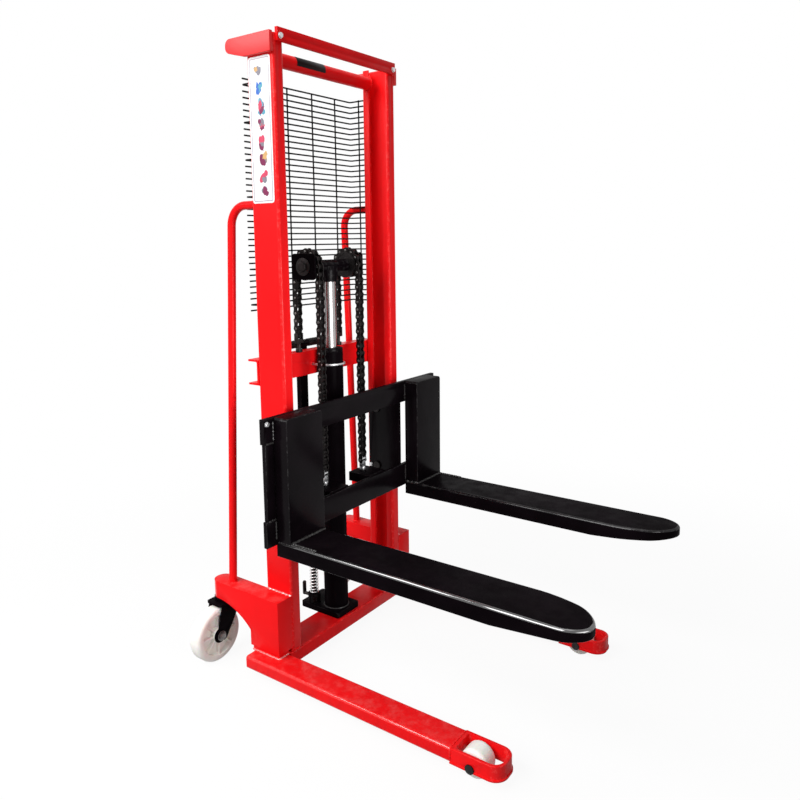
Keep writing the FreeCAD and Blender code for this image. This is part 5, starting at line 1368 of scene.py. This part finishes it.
class STACKER_OT_finishes(bpy.types.Operator):
    """Give every carried-over part its finish"""

    bl_idname = "stacker.finishes"
    bl_label = "Finishes"

    def execute(self, context):
        for name, node in frame["nodes"].items():
            node.data.materials.clear()
            node.data.materials.append(finish_of(SLOT_OF[name]))
        return {"FINISHED"}


class STACKER_OT_stage(bpy.types.Operator):
    """Set the floor, light, white surround and camera"""

    bl_idname = "stacker.stage"
    bl_label = "Stage"

    def seen(self, tree):
        """Share of rays that see the stage itself, in sight, polish or glass."""
        rays = tree.nodes.new("ShaderNodeLightPath").outputs
        seen = sums(tree, "MAXIMUM", rays["Is Camera Ray"], rays["Is Glossy Ray"])
        return sums(tree, "MAXIMUM", seen, rays["Is Transmission Ray"])

    def floor(self):
        """White floor that keeps the shadow."""
        bpy.ops.object.select_all(action="DESELECT")
        bpy.ops.mesh.primitive_grid_add(x_subdivisions=6, y_subdivisions=6, size=60)
        floor = named("studio_floor")
        material = bpy.data.materials.new("studio floor")
        material.use_nodes = True
        tree = material.node_tree
        tree.nodes.clear()
        output = tree.nodes.new("ShaderNodeOutputMaterial")
        paint = tree.nodes.new("ShaderNodeBsdfDiffuse")
        glow = tree.nodes.new("ShaderNodeEmission")
        glow.inputs["Color"].default_value = (1, 1, 1, 1)
        glow.inputs["Strength"].default_value = 1.0
        share = tree.nodes.new("ShaderNodeMixShader")
        seen = self.seen(tree)
        bounced, shown = (0.34, 0.34, 0.34), (0.88, 0.88, 0.88)
        tree.links.new(mixed(tree, seen, bounced, shown), paint.inputs["Color"])
        place = tree.nodes.new("ShaderNodeTexCoord")
        length = tree.nodes.new("ShaderNodeVectorMath")
        length.operation = "LENGTH"
        tree.links.new(place.outputs["Object"], length.inputs[0])
        near, far, near_share, far_share = 1.2, 2.6, 0.93, 1.0
        fade = between(tree, length.outputs["Value"], near, far, near_share, far_share)
        tree.links.new(sums(tree, "MULTIPLY", seen, fade), share.inputs["Fac"])
        tree.links.new(paint.outputs["BSDF"], share.inputs[1])
        tree.links.new(glow.outputs["Emission"], share.inputs[2])
        tree.links.new(share.outputs["Shader"], output.inputs["Surface"])
        floor.data.materials.append(material)

    def surround(self):
        """White to the eye and to polish, soft grey as light."""
        world = bpy.data.worlds.new("studio")
        bpy.context.scene.world = world
        world.use_nodes = True
        tree = world.node_tree
        back = tree.nodes["Background"]
        back.inputs["Color"].default_value = (1, 1, 1, 1)
        as_light, in_sight = 0.25, 1.0
        strength = between(tree, self.seen(tree), 0.0, 1.0, as_light, in_sight)
        tree.links.new(strength, back.inputs["Strength"])

    def lamp(self, name, place, aim, size, power, spread=180):
        """Square soft lamp."""
        data = bpy.data.lights.new(name, "AREA")
        data.shape = "SQUARE"
        data.size = size
        data.energy = power
        data.spread = math.radians(spread)
        lamp = linked(name, data)
        lamp.visible_camera = False
        lamp.location = place
        lamp.rotation_euler = (Vector(aim) - Vector(place)).to_track_quat("-Z", "Y").to_euler()

    def camera(self):
        """Camera at the photograph's place."""
        data = bpy.data.cameras.new("camera")
        data.lens = 33.237
        data.sensor_width = 36
        data.shift_x = 0.0145
        data.shift_y = -0.06375
        place = (1.2106, -1.8818, 1.3709)
        yaw, pitch, roll = math.radians(36.02), math.radians(8.26), math.radians(-0.756)
        ahead = Vector((-math.sin(yaw) * math.cos(pitch), math.cos(yaw) * math.cos(pitch), -math.sin(pitch)))
        across = Vector((math.cos(yaw), math.sin(yaw), 0))
        above = across.cross(ahead)
        right = across * math.cos(roll) + above * math.sin(roll)
        up = above * math.cos(roll) - across * math.sin(roll)
        turn = Matrix((right, up, -ahead)).transposed().to_4x4()
        camera = linked("camera", data)
        camera.matrix_world = Matrix.Translation(place) @ turn
        bpy.context.scene.camera = camera

    def execute(self, context):
        self.floor()
        self.surround()
        self.lamp("key", (-0.8, -5.0, 4.6), (-0.1, 0, 0.8), size=3.4, power=370)
        self.lamp("rim", (-2.2, -2.6, 3.0), (-0.2, -0.2, 0.9), size=1.1, power=38)
        self.lamp("top", (0.1, -0.4, 4.6), (0.1, 0, 0.6), size=2.0, power=28)
        self.lamp("front", (1.15, -0.5, 1.05), (-0.34, -0.1, 0.95), size=0.9, power=5, spread=80)
        self.camera()
        context.scene.view_settings.view_transform = "Standard"
        return {"FINISHED"}


STEPS = (
    STACKER_OT_red_frame,
    STACKER_OT_carriage,
    STACKER_OT_guard,
    STACKER_OT_chains,
    STACKER_OT_lifting_head,
    STACKER_OT_hand_pump,
    STACKER_OT_wheels,
    STACKER_OT_fasteners,
    STACKER_OT_welds,
    STACKER_OT_plates,
    STACKER_OT_finishes,
    STACKER_OT_stage,
)


class STACKER_PT_panel(bpy.types.Panel):
    """Steps that dress the stacker"""

    bl_label = "Hand pallet stacker"
    bl_space_type = "VIEW_3D"
    bl_region_type = "UI"
    bl_category = "Stacker"

    def draw(self, context):
        for step in STEPS:
            self.layout.operator(step.bl_idname)
        for settings in (context.scene.stacker_sizes, context.scene.stacker_colours):
            for name in settings.__annotations__:
                self.layout.prop(settings, name)


CLASSES = (StackerSizes, StackerColours) + STEPS + (STACKER_PT_panel,)


def register():
    for item in CLASSES:
        bpy.utils.register_class(item)
    bpy.types.Scene.stacker_sizes = bpy.props.PointerProperty(type=StackerSizes)
    bpy.types.Scene.stacker_colours = bpy.props.PointerProperty(type=StackerColours)


def unregister():
    del bpy.types.Scene.stacker_colours
    del bpy.types.Scene.stacker_sizes
    for item in reversed(CLASSES):
        bpy.utils.unregister_class(item)


def main():
    """Dress the frame step by step."""
    register()
    bpy.ops.stacker.red_frame()
    bpy.ops.stacker.carriage()
    bpy.ops.stacker.guard()
    bpy.ops.stacker.chains()
    bpy.ops.stacker.lifting_head()
    bpy.ops.stacker.hand_pump()
    bpy.ops.stacker.wheels()
    bpy.ops.stacker.fasteners()
    bpy.ops.stacker.welds()
    bpy.ops.stacker.plates()
    bpy.ops.stacker.finishes()
    bpy.ops.stacker.stage()


if __name__ == "__main__":
    main()
